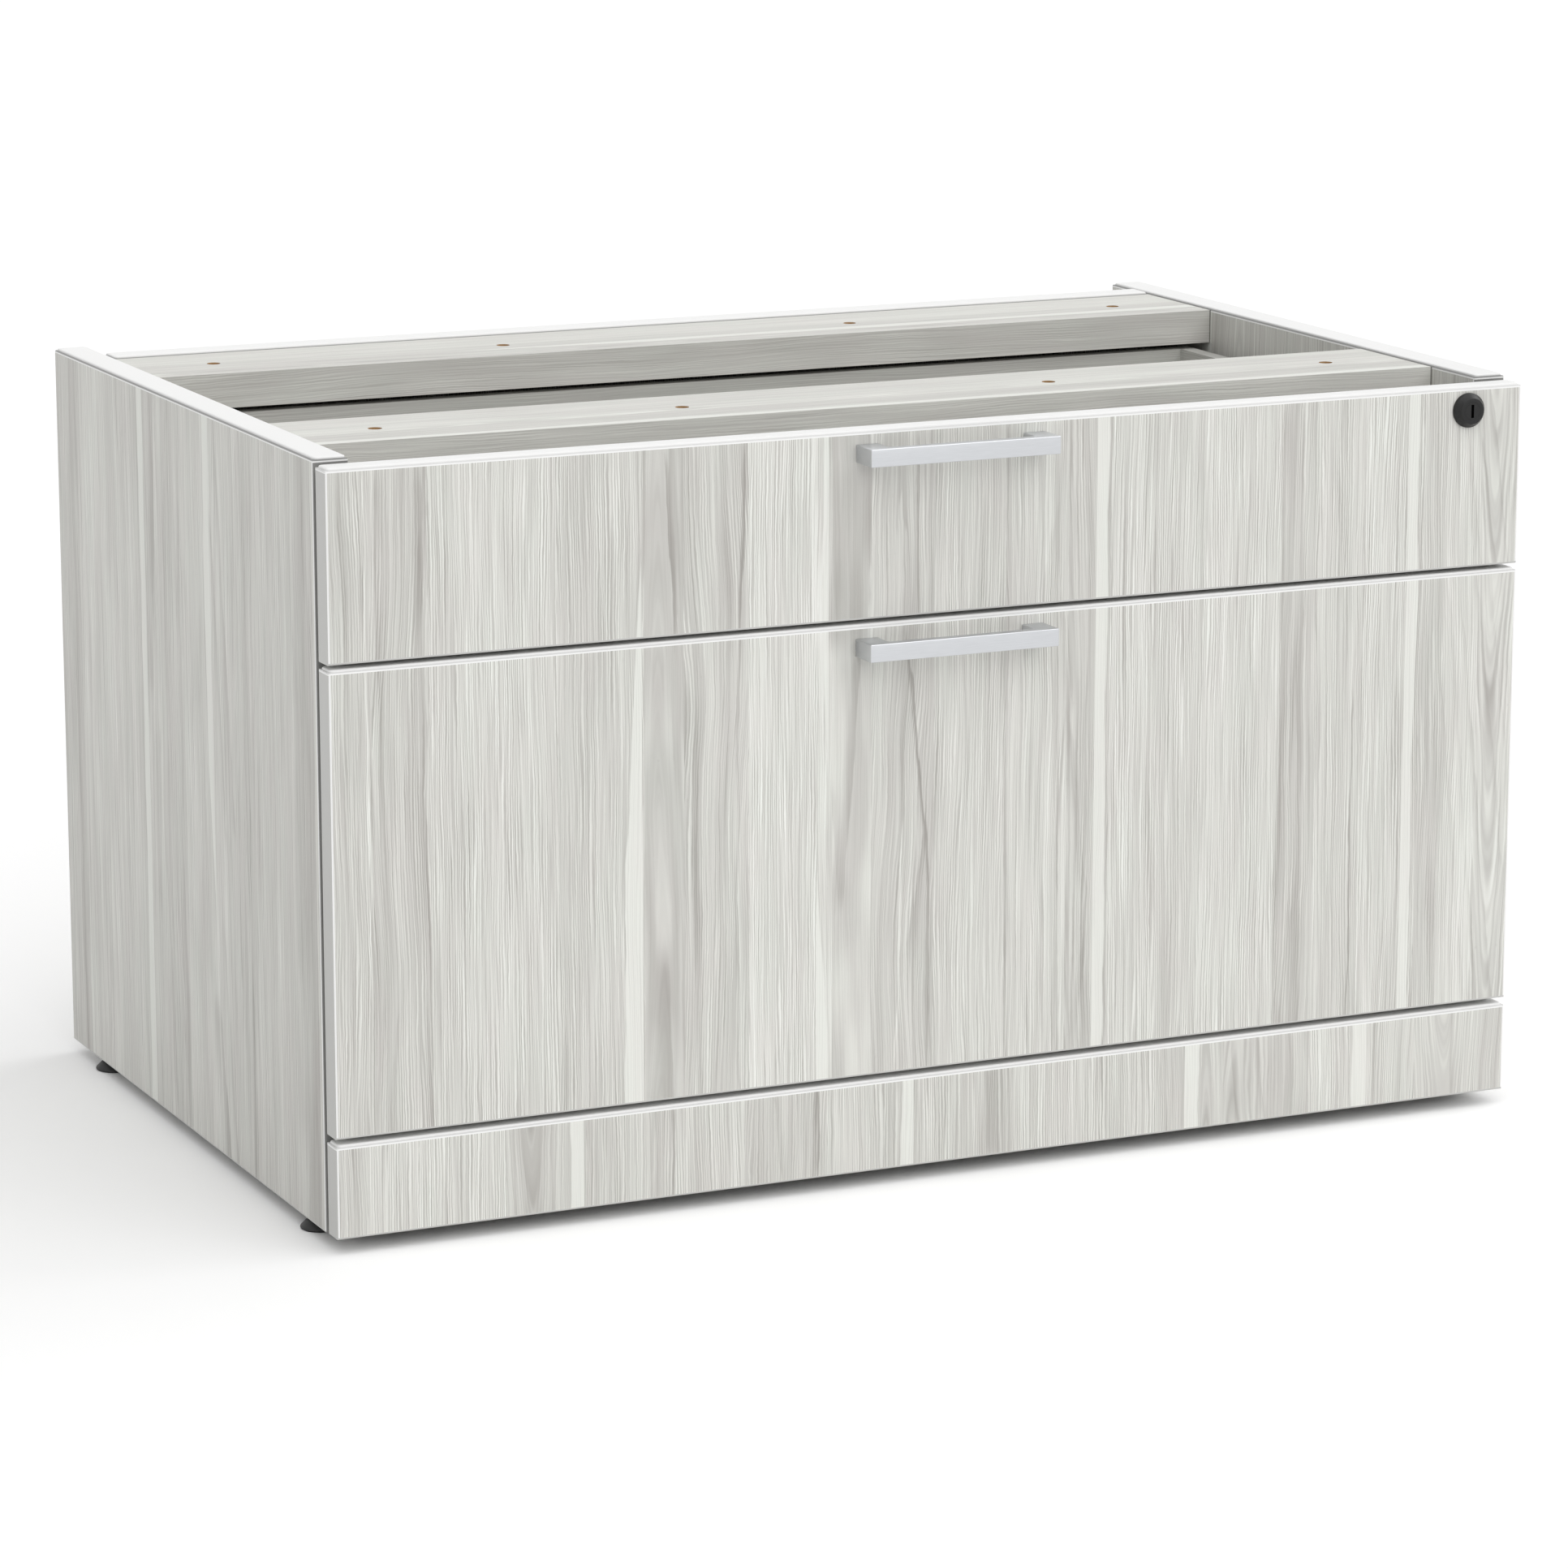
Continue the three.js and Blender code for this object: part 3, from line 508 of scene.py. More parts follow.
BOARDS = {
    "drawer_fronts": Board(
        (1, 0, 0), (0, 0, 1), LEFT_EDGE, 950, 3.0,
        staves=[
            (0, 210, 0.35, 0.1, 0.0), (28, 204, 0.50, 0.1, 0.0), (70, 212, 0.05, 0.0, 0.0),
            (160, 210, 0.12, 0.1, 0.0), (225, 202, 0.40, 1.0, 0.6), (253, 204, 0.60, 0.2, 0.0),
            (303, 222, 0.06, 0.0, 0.0), (356, 217, 0.20, 0.6, 0.0), (365, 212, 0.30, 0.9, 0.0),
            (396, 202, 0.80, 0.2, 0.0), (443, 211, 0.25, 0.1, 0.0), (498, 209, 0.40, 0.1, 0.0),
            (546, 204, 0.45, 0.3, 0.2), (580, 214, 0.05, 0.0, 0.0), (654, 219, 0.05, 0.1, 0.0),
            (718, 206, 0.60, 0.3, 0.0), (748, 209, 0.40, 0.1, 0.0), (784, 217, 0.10, 0.0, 0.0),
            (800, 210, 0.05, 0.0, 0.0), (832, 208, 0.30, 0.3, 0.0), (851, 216, 0.45, 0.3, 0.0),
            (881, 208, 0.50, 0.2, -0.3), (949, 206, 0.70, 0.0, 0.0),
        ],
        streaks=[
            (225, -13, 466, 215), (364.5, -4.0, 292, -80), (355.5, 9.0, 230, 110), (571, 9.0, *WHOLE),
            (822.5, 8.5, *WHOLE),
        ],
        veins=[
            (26.5, 25.0, 170, 540, 2.4, -0.44), (203.0, 207.0, 440, 530, 2.2, -0.24),
            (415.5, 421.0, 70, 270, 2.4, -0.36), (36.0, 34.0, 60, 540, 8.0, 0.14),
            (71.0, 67.0, 60, 540, -9.0, 0.20), (249.0, 242.0, 390, 540, 5.0, 0.30),
            (268.0, 266.0, 60, 540, -6.0, 0.12), (298.5, 296.0, 60, 345, -3.0, 0.36),
            (296.0, 302.5, 325, 540, -3.2, 0.54), (374.0, 364.0, 195, 300, 14.0, 0.14),
            (375.0, 391.0, 195, 400, -12.0, 0.20), (442.0, 441.0, 60, 270, -3.2, 0.50),
            (441.0, 424.0, 245, 400, -3.2, 0.50), (434.0, 433.0, 390, 540, -3.0, 0.40),
            (363.0, 363.0, 380, 570, 40.0, 0.18), (352.0, 352.0, 380, 570, 11.0, -0.14),
            (396.0, 396.0, 380, 570, -26.0, 0.20), (397.0, 397.0, 380, 570, 3.0, -0.20),
            (500.0, 500.0, 60, 540, 6.0, 0.16), (545.0, 541.0, 60, 540, -9.0, 0.14),
            (718.0, 718.0, 60, 540, 9.0, 0.20), (740.0, 736.0, 60, 540, -6.0, 0.16),
            (781.0, 781.0, 60, 330, -2.6, 0.38), (250.0, 243.0, 60, 196, -16.0, 0.18),
            (563.0, 545.0, 190, 420, -6.0, 0.16), (568.0, 553.0, 180, 330, -5.0, 0.14),
            (558.0, 568.0, 80, 172, -7.0, 0.16), (905.0, 868.0, 70, 400, -5.0, 0.18),
            (893.0, 858.0, 60, 400, -4.0, 0.14), (882.0, 853.0, 60, 340, -4.0, 0.12),
            (912.0, 879.0, 170, 420, -4.0, 0.16), (912.0, 890.0, 260, 420, -4.0, 0.14),
            (900.0, 874.0, 390, 560, -5.0, 0.16), (911.0, 886.0, 390, 560, -4.0, 0.16),
            (888.0, 864.0, 390, 560, -4.0, 0.12),
        ],
        contrast=1.18,
    ),
    "base_front": Board(
        (1, 0, 0), (0, 0, 1), LEFT_EDGE, 950, 11.0,
        staves=[
            (0, 206, 0.20, 0.1, 0.0), (20, 218, 0.05, 0.0, 0.0), (58, 211, 0.05, 0.0, 0.0),
            (122, 202, 0.70, 0.1, -0.6), (180, 204, 0.10, 0.0, 0.0), (205, 212, 0.05, 0.0, 0.0),
            (230, 202, 0.05, 0.0, 0.0), (247, 211, 0.30, 0.1, 0.0), (300, 203, 0.45, 0.2, 0.0),
            (362, 209, 0.15, 0.0, 0.0), (408, 203, 0.25, 0.1, 0.0), (431, 205, 0.20, 0.0, 0.0),
            (464, 210, 0.10, 0.0, 0.0), (486, 196, 0.50, 0.1, 0.0), (506, 213, 0.10, 0.0, 0.0),
            (627, 205, 0.35, 0.1, 0.0), (657, 209, 0.40, 0.6, 0.5), (678, 200, 0.75, 0.4, 0.3),
            (746, 214, 0.20, 0.1, 0.0), (798, 213, 0.30, 0.2, 0.0), (836, 206, 0.60, 0.2, -0.45),
            (914, 206, 0.85, 0.1, 0.0),
        ],
        streaks=[(180, -10, *WHOLE), (431, -10, *WHOLE), (647.5, 11.5, *WHOLE), (798, -12, *WHOLE)],
        veins=[
            (248.0, 246.5, 0, 90, -2.6, 0.50), (306.0, 303.0, 0, 90, 5.0, 0.16),
            (330.0, 322.0, 0, 90, 6.0, 0.16), (357.5, 357.0, 0, 90, -2.8, 0.46),
            (489.0, 488.0, 0, 90, 13.0, 0.18), (690.0, 684.0, 0, 90, 6.0, 0.18),
            (716.0, 706.0, 0, 90, -6.0, 0.16), (870.0, 868.0, 0, 90, 5.0, 0.16),
        ],
        contrast=1.1,
    ),
    "left_side": Board(
        (0, -1, 0), (0, 0, 1), -SIDE_REAR, 600, 23.0,
        staves=[
            (0, 207, 0.20, 0.3, 0.0), (29, 202, 0.40, 0.2, 0.0), (47, 214, 0.08, 0.3, 0.0),
            (172, 210, 0.15, 0.3, 0.0), (202, 207, 0.45, 0.3, 0.0), (246, 206, 0.40, 0.1, 0.0),
            (282, 216, 0.05, 0.4, 0.0), (345, 213, 0.35, 0.3, 0.0), (384, 208, 0.35, 0.1, 0.0),
            (410, 205, 0.30, 0.2, 0.0), (422, 212, 0.10, 0.2, 0.0), (480, 210, 0.15, 0.2, 0.0),
            (512, 209, 0.30, 0.4, 0.0), (590, 205, 0.55, 0.3, 0.0),
        ],
        streaks=[(202.5, -11, *WHOLE), (345, -11, 180, -120)],
        veins=[
            (36.0, 34.0, -20, 570, 7.0, 0.16), (216.0, 231.0, 310, 570, -22.0, 0.24),
            (222.0, 231.0, 150, 306, -20.0, 0.22), (280.0, 279.0, -20, 570, -7.0, 0.10),
            (390.0, 359.0, 240, 560, -11.0, 0.16), (373.0, 349.0, 225, 480, -9.0, 0.14),
            (372.0, 347.0, -20, 130, -24.0, 0.28), (384.0, 361.0, -20, 190, -8.0, 0.14),
            (397.5, 396.5, 135, 300, -2.4, 0.28), (419.0, 421.0, -20, 290, -2.8, 0.36),
            (553.0, 553.0, -20, 570, -44.0, 0.20),
        ],
        contrast=1.2,
    ),
    "right_side": Board(
        (0, 1, 0), (0, 0, 1), -SIDE_REAR, 600, 31.0,
        staves=[
            (0, 211, 0.60, 0.2, 0.4), (86, 216, 0.05, 0.0, 0.0), (198, 206, 0.55, 0.4, -0.5),
            (262, 212, 0.30, 0.1, 0.0), (371, 205, 0.50, 0.5, 0.5), (440, 217, 0.10, 0.0, 0.0),
            (520, 207, 0.60, 0.2, 0.4), (580, 207, 0.60, 0.2, 0.0),
        ],
        streaks=[(198, -9, *WHOLE), (371, -10, 430, 260), (440, 6, *WHOLE)],
    ),
    "back": Board(
        (-1, 0, 0), (0, 0, 1), LEFT_EDGE, 950, 43.0,
        staves=[
            (0, 216, 0.10, 0.0, 0.0), (110, 206, 0.50, 0.3, 0.4), (190, 214, 0.20, 0.1, 0.0),
            (305, 205, 0.60, 0.5, -0.5), (372, 218, 0.05, 0.0, 0.0), (508, 208, 0.50, 0.1, 0.0),
            (590, 214, 0.15, 0.0, 0.0), (700, 205, 0.60, 0.4, 0.5), (790, 212, 0.30, 0.1, 0.0),
        ],
        streaks=[(110, -8, *WHOLE), (305, -11, 420, 240), (508, 7, *WHOLE), (700, -9, 330, -200)],
    ),
    "front_rail": Board(
        (0, 1, 1), (1, 0, 0), FRONT_RAIL_EDGE + RAIL_TOP - 30, 140, 53.0,
        staves=[
            (0, 215, 0.15, 0.4, 0.0), (30, 212, 0.20, 0.2, 0.0), (44, 206, 0.40, 0.2, 0.0),
            (66, 215, 0.50, 0.3, 0.3), (94, 213, 0.30, 0.3, 0.0),
        ],
        streaks=[(31, 9, *WHOLE)], contrast=0.8,
    ),
    "rear_rail": Board(
        (0, 1, 1), (1, 0, 0), REAR_RAIL_EDGE + RAIL_TOP - 30, 140, 67.0,
        staves=[
            (0, 204, 0.15, 0.4, 0.0), (30, 209, 0.30, 0.2, 0.0), (40, 203, 0.40, 0.2, 0.3),
            (60, 209, 0.30, 0.3, 0.0), (84, 216, 0.10, 0.3, 0.0),
        ],
        streaks=[(64, -11, -190, -150)], contrast=0.8,
    ),
    "bottom": Board(
        (0, 1, 0), (1, 0, 0), -SIDE_REAR, 600, 71.0,
        staves=[
            (0, 212, 0.30, 0.1, 0.0), (120, 205, 0.60, 0.2, 0.5), (210, 216, 0.10, 0.0, 0.0),
            (330, 208, 0.50, 0.1, 0.0),
        ],
        streaks=[(210, -8, *WHOLE)],
    ),
}
LINE_PITCH = 1.85
VEIN_PITCH = 17.0
VEIN_END = 24.0
ARCH_SLOPE = 0.055


def sapwood(finish, across, along, seed, streak):
    """Share of sapwood of one streak and share of the dark line on its wandering edge, from 0 to 1."""
    edge, width, tip, run = streak
    side = math.copysign(1.0, width)
    depth = finish.math("MULTIPLY", finish.math("SUBTRACT", across, edge), side)
    wander = finish.noise(edge, finish.math("DIVIDE", along, 120.0), seed, 3.0, 0.6)
    breadth = finish.math("MULTIPLY_ADD", wander, 0.9 * abs(width), 0.55 * abs(width))
    if tip is not None:
        taper = finish.math("DIVIDE", finish.math("SUBTRACT", tip, along), run, clamp=True)
        breadth = finish.math("MULTIPLY", breadth, taper)
    inside = finish.step(depth, -0.3, 0.3)
    over = finish.math("SUBTRACT", depth, breadth)
    white = finish.math("MULTIPLY", inside, finish.step(over, 0.5, -0.7))
    beyond = finish.math("ABSOLUTE", finish.math("SUBTRACT", over, 1.0))
    rim = finish.math("MULTIPLY", inside, finish.step(beyond, 1.4, 0.0))
    return white, rim


def veining(finish, across, along, vein):
    """How much darker one vein is than its stave.

    Its offset changes evenly along the grain. Across it, a steep step is met by a slow fall to the
    other side, and along it the vein comes and goes over a fixed length at each end.
    """
    first, last, low, high, fade, depth = vein
    side = math.copysign(1.0, fade)
    lean = (last - first) / (high - low)
    line = finish.math("MULTIPLY_ADD", along, lean, first - lean * low)
    away = finish.math("MULTIPLY", finish.math("SUBTRACT", across, line), side)
    shape = finish.math("MULTIPLY", finish.step(away, -0.5, 0.5), finish.step(away, abs(fade), 0.0))
    ends = finish.math("MULTIPLY", finish.step(along, low, low + VEIN_END), finish.step(along, high, high - VEIN_END))
    return finish.math("MULTIPLY", finish.math("MULTIPLY", shape, ends), depth)


def laminate(name, board, settings):
    """Pale grey staves of printed wood, side by side, with white sapwood along some of their edges.

    Fine lines, streaks and broad bands are noise drawn out along the grain. Veins are the contour
    lines of a slow noise field, sharp on one side and fading on the other: they run straight where
    the field slopes evenly and close into arches where it turns.
    """
    finish = Finish(name)
    across = finish.math("SUBTRACT", finish.along(board.across), board.start)
    along = finish.along(board.along)
    place = finish.math("DIVIDE", across, board.breadth)
    starts = [stave[0] for stave in board.staves]
    widths = [after - before for before, after in zip(starts, [*starts[1:], board.breadth])]
    tone, figure, calm = finish.lookup(
        place,
        [
            (offset / board.breadth, ((tone - TONE_LOW) / (TONE_HIGH - TONE_LOW), figure, calm))
            for offset, tone, figure, calm, arch in board.staves
        ],
    )
    begin, width, turn = finish.lookup(
        place,
        [
            (stave[0] / board.breadth, (stave[0] / board.breadth, width / board.breadth, 0.5 + stave[4] / 2))
            for stave, width in zip(board.staves, widths)
        ],
    )
    seed = finish.math("MULTIPLY_ADD", begin, 0.37 * board.breadth, board.seed)
    width = finish.math("MULTIPLY", width, board.breadth)
    turn = finish.math("MULTIPLY_ADD", turn, 2.0, -1.0)

    bend = finish.noise(finish.math("DIVIDE", across, 110.0), finish.math("DIVIDE", along, 300.0), seed, 2.0)
    wobble = finish.noise(finish.math("DIVIDE", across, 5.0), finish.math("DIVIDE", along, 16.0), seed, 2.0)
    sway = finish.centred(bend, finish.math("MULTIPLY_ADD", figure, 26.0, 9.0))
    straight = finish.total(across, sway, finish.centred(wobble, 1.3))
    local = finish.math("SUBTRACT", straight, finish.math("MULTIPLY", begin, board.breadth))
    middle = finish.math("MULTIPLY_ADD", finish.math("DIVIDE", local, width), 2.0, -1.0)
    bow = finish.math("MULTIPLY", finish.math("MULTIPLY", middle, middle), width)
    rise = finish.math("MULTIPLY", finish.math("SIGN", turn), ARCH_SLOPE)
    arched = finish.math("MULTIPLY_ADD", along, rise, bow)
    grain = finish.math(
        "MULTIPLY_ADD", finish.math("SUBTRACT", arched, straight), finish.math("ABSOLUTE", turn), straight
    )

    def drawn(across_size, along_size, detail, offset, roughness=0.55):
        """Noise of one width across the grain, drawn out along it."""
        return finish.noise(
            finish.math("DIVIDE", grain, across_size), finish.math("DIVIDE", along, along_size),
            finish.math("ADD", seed, offset), detail, roughness,
        )

    drift = drawn(7.0, 230.0, 2.0, 1.0)
    phase = finish.math("MULTIPLY_ADD", drift, 4.0, finish.math("DIVIDE", grain, LINE_PITCH))
    fine = finish.math("MULTIPLY_ADD", finish.math("SINE", finish.math("MULTIPLY", phase, 2 * math.pi)), 0.5, 0.5)
    hair = finish.step(drawn(0.46, 110.0, 1.0, 3.0), 0.36, 0.64)
    etched = finish.step(drawn(1.3, 180.0, 0.0, 33.0), 0.69, 0.75)
    gleam = finish.step(drawn(1.7, 200.0, 0.0, 37.0), 0.69, 0.77)
    lines = drawn(3.4, 240.0, 2.0, 5.0)
    dusk = finish.step(drawn(8.5, 460.0, 1.0, 45.0), 0.50, 0.74)
    streaks = drawn(11.0, 700.0, 3.0, 9.0, 0.65)
    broad = drawn(40.0, 900.0, 1.0, 13.0)
    patch = finish.step(drawn(17.0, 120.0, 1.0, 21.0), 0.34, 0.66)
    crisp = finish.math("MULTIPLY_ADD", calm, -0.85, 1.0)
    field = finish.total(
        finish.math("DIVIDE", grain, VEIN_PITCH),
        finish.math("MULTIPLY", drawn(60.0, 560.0, 1.0, 17.0, 0.4), 4.0),
        finish.math("MULTIPLY", streaks, 1.6),
    )
    ring = finish.math("FRACT", field)
    sharp = finish.math("MULTIPLY_ADD", calm, -2.6, 4.0)
    fading = finish.math("POWER", finish.math("SUBTRACT", 1.0, ring), sharp)
    vein = finish.math("MULTIPLY", fading, finish.step(ring, 0.0, 0.05))
    worn = finish.step(drawn(26.0, 240.0, 1.0, 29.0), 0.30, 0.62)
    vein = finish.math("MULTIPLY", vein, worn)
    fleck = finish.step(
        finish.noise(finish.math("DIVIDE", grain, 1.1), finish.math("DIVIDE", along, 6.0), seed, 1.0), 0.70, 0.80
    )

    crisp = finish.math("MULTIPLY", crisp, finish.math("MULTIPLY_ADD", figure, -0.45, 1.12))
    uneven = finish.math("MULTIPLY_ADD", figure, 1.0, 0.30)
    shown = finish.math("MULTIPLY_ADD", finish.step(drawn(15.0, 110.0, 1.0, 49.0), 0.30, 0.70), 1.1, 0.35)
    detail = finish.total(
        finish.math("MULTIPLY", finish.math("MULTIPLY", crisp, shown), finish.centred(fine, 0.32)),
        finish.math("MULTIPLY", crisp, finish.centred(hair, 0.26)),
        finish.math("MULTIPLY", crisp, finish.math("MULTIPLY", etched, -0.18)),
        finish.math("MULTIPLY", crisp, finish.math("MULTIPLY", gleam, 0.05)),
        finish.math("MULTIPLY", finish.math("MULTIPLY", finish.math("SUBTRACT", 0.3, dusk), 0.14), uneven),
        finish.math("MULTIPLY", finish.centred(lines, 0.28), uneven),
        finish.math("MULTIPLY", finish.centred(streaks, 0.50), finish.math("MULTIPLY_ADD", figure, 1.0, 0.06)),
        finish.centred(broad, 0.28),
        finish.math("MULTIPLY", calm, finish.centred(patch, 0.24)),
        finish.math("MULTIPLY", finish.math("SUBTRACT", 0.16, vein), finish.math("MULTIPLY", figure, 0.36)),
        finish.math("MULTIPLY", fleck, -0.05),
    )
    wander = finish.noise(finish.math("DIVIDE", across, 9.0), finish.math("DIVIDE", along, 75.0), seed, 2.0)
    traced = finish.total(across, finish.centred(wander, 7.0), finish.centred(wobble, 1.3))
    strong = finish.math("MULTIPLY_ADD", worn, 0.55, 0.55)
    for vein_placed in board.veins:
        darker = veining(finish, traced, along, vein_placed)
        detail = finish.math("SUBTRACT", detail, finish.math("MULTIPLY", darker, strong))
    level = finish.math("MULTIPLY_ADD", detail, board.contrast, tone)
    white, rim = 0.0, 0.0
    for streak in board.streaks:
        share_white, share_rim = sapwood(finish, across, along, seed, streak)
        white = finish.math("MAXIMUM", white, share_white)
        rim = finish.math("MAXIMUM", rim, share_rim)
    level = finish.math("ADD", level, finish.math("MULTIPLY", rim, -0.10))
    shades = (settings.deep, settings.dark, settings.middle, settings.pale, settings.light)
    wood = finish.ramp(level, [(index / 4, tuple(shade)) for index, shade in enumerate(shades)])
    if board.streaks:
        faint = finish.math("ADD", finish.centred(fine, 0.22), 0.84)
        wood = finish.mix(finish.math("MULTIPLY", white, faint, clamp=True), wood, settings.sap)
    blush = finish.ramp(drawn(22.0, 90.0, 2.0, 41.0), [(0.32, (0.991, 1.0, 0.996)), (0.68, (1.0, 0.989, 0.995))])
    finish.wood = finish.mix(1.0, wood, blush, "MULTIPLY")
    finish.bump(fine, 0.12, 0.0002)
    rough = finish.math("ADD", finish.centred(lines, 0.16), settings.roughness)
    finish.surface(base_color=finish.wood, roughness=rough, specular_ior_level=0.32)
    return finish


def drilled(finish, rail, settings, sizes):
    """Raw board in the walls of a rail's holes, and a dark line of painted shade where its ends meet the sides.

    The holes are mirrored about the middle, so the distance to the nearest axis is found on one side.
    """
    low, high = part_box(rail)
    east, north = finish.along((1, 0, 0)), finish.along((0, 1, 0))
    side = finish.math("ABSOLUTE", east)
    places = [place * MILLIMETRES for place in sizes.rail_holes]
    offsets = [finish.math("ABSOLUTE", finish.math("SUBTRACT", side, place)) for place in places]
    over = finish.math("SUBTRACT", north, (low.y + high.y) / 2 * MILLIMETRES)
    nearest = finish.math("MINIMUM", *offsets)
    reach = finish.math("SQRT", finish.math("MULTIPLY_ADD", over, over, finish.math("MULTIPLY", nearest, nearest)))
    inside = finish.step(reach, sizes.rail_hole / 2 * MILLIMETRES + 0.4, sizes.rail_hole / 2 * MILLIMETRES + 0.2)
    upright = finish.step(finish.math("ABSOLUTE", finish.facing((0, 0, 1))), 0.5, 0.3)
    crumb = finish.noise(east, north, finish.along((0, 0, 1)), 3.0, 0.7)
    raw = finish.ramp(crumb, [(0.3, tuple(0.7 * part for part in settings.raw)), (0.7, tuple(settings.raw))])
    board = finish.mix(finish.math("MULTIPLY", inside, upright), finish.wood, raw)
    # Painted shade: a dark line at each end stands in for the shadow in the joint against the side.
    end = finish.step(side, high.x * MILLIMETRES - 1.1, high.x * MILLIMETRES - 0.7)
    end_gap_shade = finish.math("MULTIPLY", end, 0.8)
    finish.surface(base_color=finish.mix(end_gap_shade, board, tuple(0.2 * part for part in settings.deep)))


class CABINET_OT_laminate_boards(bpy.types.Operator):
    """Dress the carcass boards and drawer fronts in wood-grain laminate"""

    bl_idname = "cabinet.laminate_boards"
    bl_label = "Laminate Boards"

    def execute(self, context):
        settings = context.scene.cabinet_laminate
        wearers = {
            "drawer_fronts": ["upper_front_panel", "lower_front_panel"],
            "base_front": ["base_front_panel"],
            "left_side": ["left_side_panel"],
            "right_side": ["right_side_panel"],
            "back": ["back_panel"],
            "front_rail": ["front_top_rail"],
            "rear_rail": ["rear_top_rail"],
            "bottom": ["bottom_panel"],
        }
        for key, nodes in wearers.items():
            finish = laminate(f"laminate_{key}", BOARDS[key], settings)
            if key.endswith("rail"):
                drilled(finish, nodes[0], settings, context.scene.cabinet_hardware)
            dress(finish.material, *nodes)
        return {"FINISHED"}


class CABINET_OT_drawer_boxes(bpy.types.Operator):
    """Dress the drawer boxes in plain pale board, darkened by painted shade"""

    bl_idname = "cabinet.drawer_boxes"
    bl_label = "Drawer Boxes"

    def execute(self, context):
        settings = context.scene.cabinet_laminate
        runs = {"left": ((0, 0, 1), (0, 1, 0)), "front": ((0, 0, 1), (1, 0, 0)), "floor": ((0, 1, 0), (1, 0, 0))}
        alike = {"left": ("left", "right"), "front": ("front", "back"), "floor": ("floor",)}
        for key, (across, along) in runs.items():
            board = Board(
                across, along, -SIDE_REAR, 2 * SIDE_REAR, 80.0,
                staves=[(0, 212, 0.20, 0.3, 0.0), (460, 213, 0.25, 0.3, 0.0)], streaks=[], contrast=0.7,
            )
            finish = laminate(f"drawer_board_{key}", board, settings)
            # Painted shade: the box board's colour is darkened for the shade inside the carcass.
            shaded = finish.mix(1.0, finish.wood, (settings.box_painted_shade,) * 3, "MULTIPLY")
            material = finish.surface(base_color=shaded)
            for drawer in ("upper", "lower"):
                dress(material, *(f"{drawer}_box_{wall}" for wall in alike[key]))
        return {"FINISHED"}


def edge_band(node, face, shade, settings):
    """Satin band: white on the cap, on its thin lips and near the top, light grey on the flat edges.

    The lips are where the rounded edge has nearly turned to face as the board does, apart from the
    bottom edge. A fine grey line of painted shade runs under the cap, and the cap's rounded flank is
    darkened towards it as painted shade, both as strong as shade. On the side bands the forward-facing
    edges are painted with the shade of the gap behind the fronts.
    """
    finish = Finish(f"{node}_satin")
    east, north, up = (finish.along(axis) for axis in ((1, 0, 0), (0, 1, 0), (0, 0, 1)))
    low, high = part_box(node)
    rise = finish.math("SUBTRACT", up, (high.z - settings.crown) * MILLIMETRES)
    above = finish.step(up, low.z * MILLIMETRES + 1.4, low.z * MILLIMETRES + 1.6)
    lip = finish.step(finish.math("ABSOLUTE", finish.facing(face)), 0.70, 0.92)
    lip = finish.math("MULTIPLY", lip, above)
    upward = finish.step(finish.facing((0, 0, 1)), 0.05, 0.35)
    white = finish.math("MAXIMUM", finish.math("MAXIMUM", lip, upward), finish.step(rise, -1.9, -1.5))
    # Painted shade: a dark line in the crease under the cap, and a darker rounded flank above it.
    crease = finish.step(finish.math("ABSOLUTE", finish.math("ADD", rise, 0.2)), 0.65, 0.25)
    flank_shade = finish.math("MULTIPLY", finish.step(rise, 1.6, 0.4), finish.step(rise, -0.3, 0.1))
    dark = finish.math("MAXIMUM", finish.math("MULTIPLY", crease, 0.75), finish.math("MULTIPLY", flank_shade, 0.30))
    cloud = finish.noise(*(finish.math("DIVIDE", way, 60.0) for way in (east, north, up)), 4.0)
    grit = finish.noise(east, north, up, 2.0)
    worn = finish.total(0.97, finish.centred(cloud, 0.05), finish.centred(grit, 0.02))
    # Painted shade: forward-facing faces of the side bands take the grey of the shadowed gap behind the fronts.
    ahead = finish.math("MULTIPLY", finish.step(finish.facing((0, -1, 0)), 0.5, 0.9), 1.0 if face[0] else 0.0)
    edge = finish.mix(ahead, settings.strip, settings.front_edge_shade)
    tint = finish.mix(1.0, finish.mix(white, edge, settings.cap), worn, "MULTIPLY")
    finish.bump(grit, 0.06, 0.0001)
    rough = finish.math("ADD", finish.centred(cloud, 0.12), settings.roughness)
    # Painted shade: the groove grey is laid over the band where the crease and flank are darkened.
    shaded = finish.mix(finish.math("MULTIPLY", dark, shade), tint, settings.groove_shade)
    return finish.surface(base_color=shaded, roughness=rough, specular_ior_level=0.4)


class CABINET_OT_edge_bands(bpy.types.Operator):
    """Dress the edge bands: white caps and lips, light grey flat edges, painted shade under the caps and behind the
    fronts
    """

    bl_idname = "cabinet.edge_bands"
    bl_label = "Edge Bands"

    def execute(self, context):
        settings = context.scene.cabinet_edges
        # The number after each band's facing is the strength of its painted shade under the cap: full on the carcass,
        # weaker on the fronts, whose creases face the light.
        for side in ("left", "right"):
            node = f"{side}_side_edge_band"
            dress(edge_band(node, (1, 0, 0), 1.0, settings), node)
        for board, shade in (("back", 1.0), ("base_front", 0.3), ("lower_front", 0.3), ("upper_front", 0.3)):
            node = f"{board}_edge_band"
            dress(edge_band(node, (0, 1, 0), shade, settings), node)
        return {"FINISHED"}


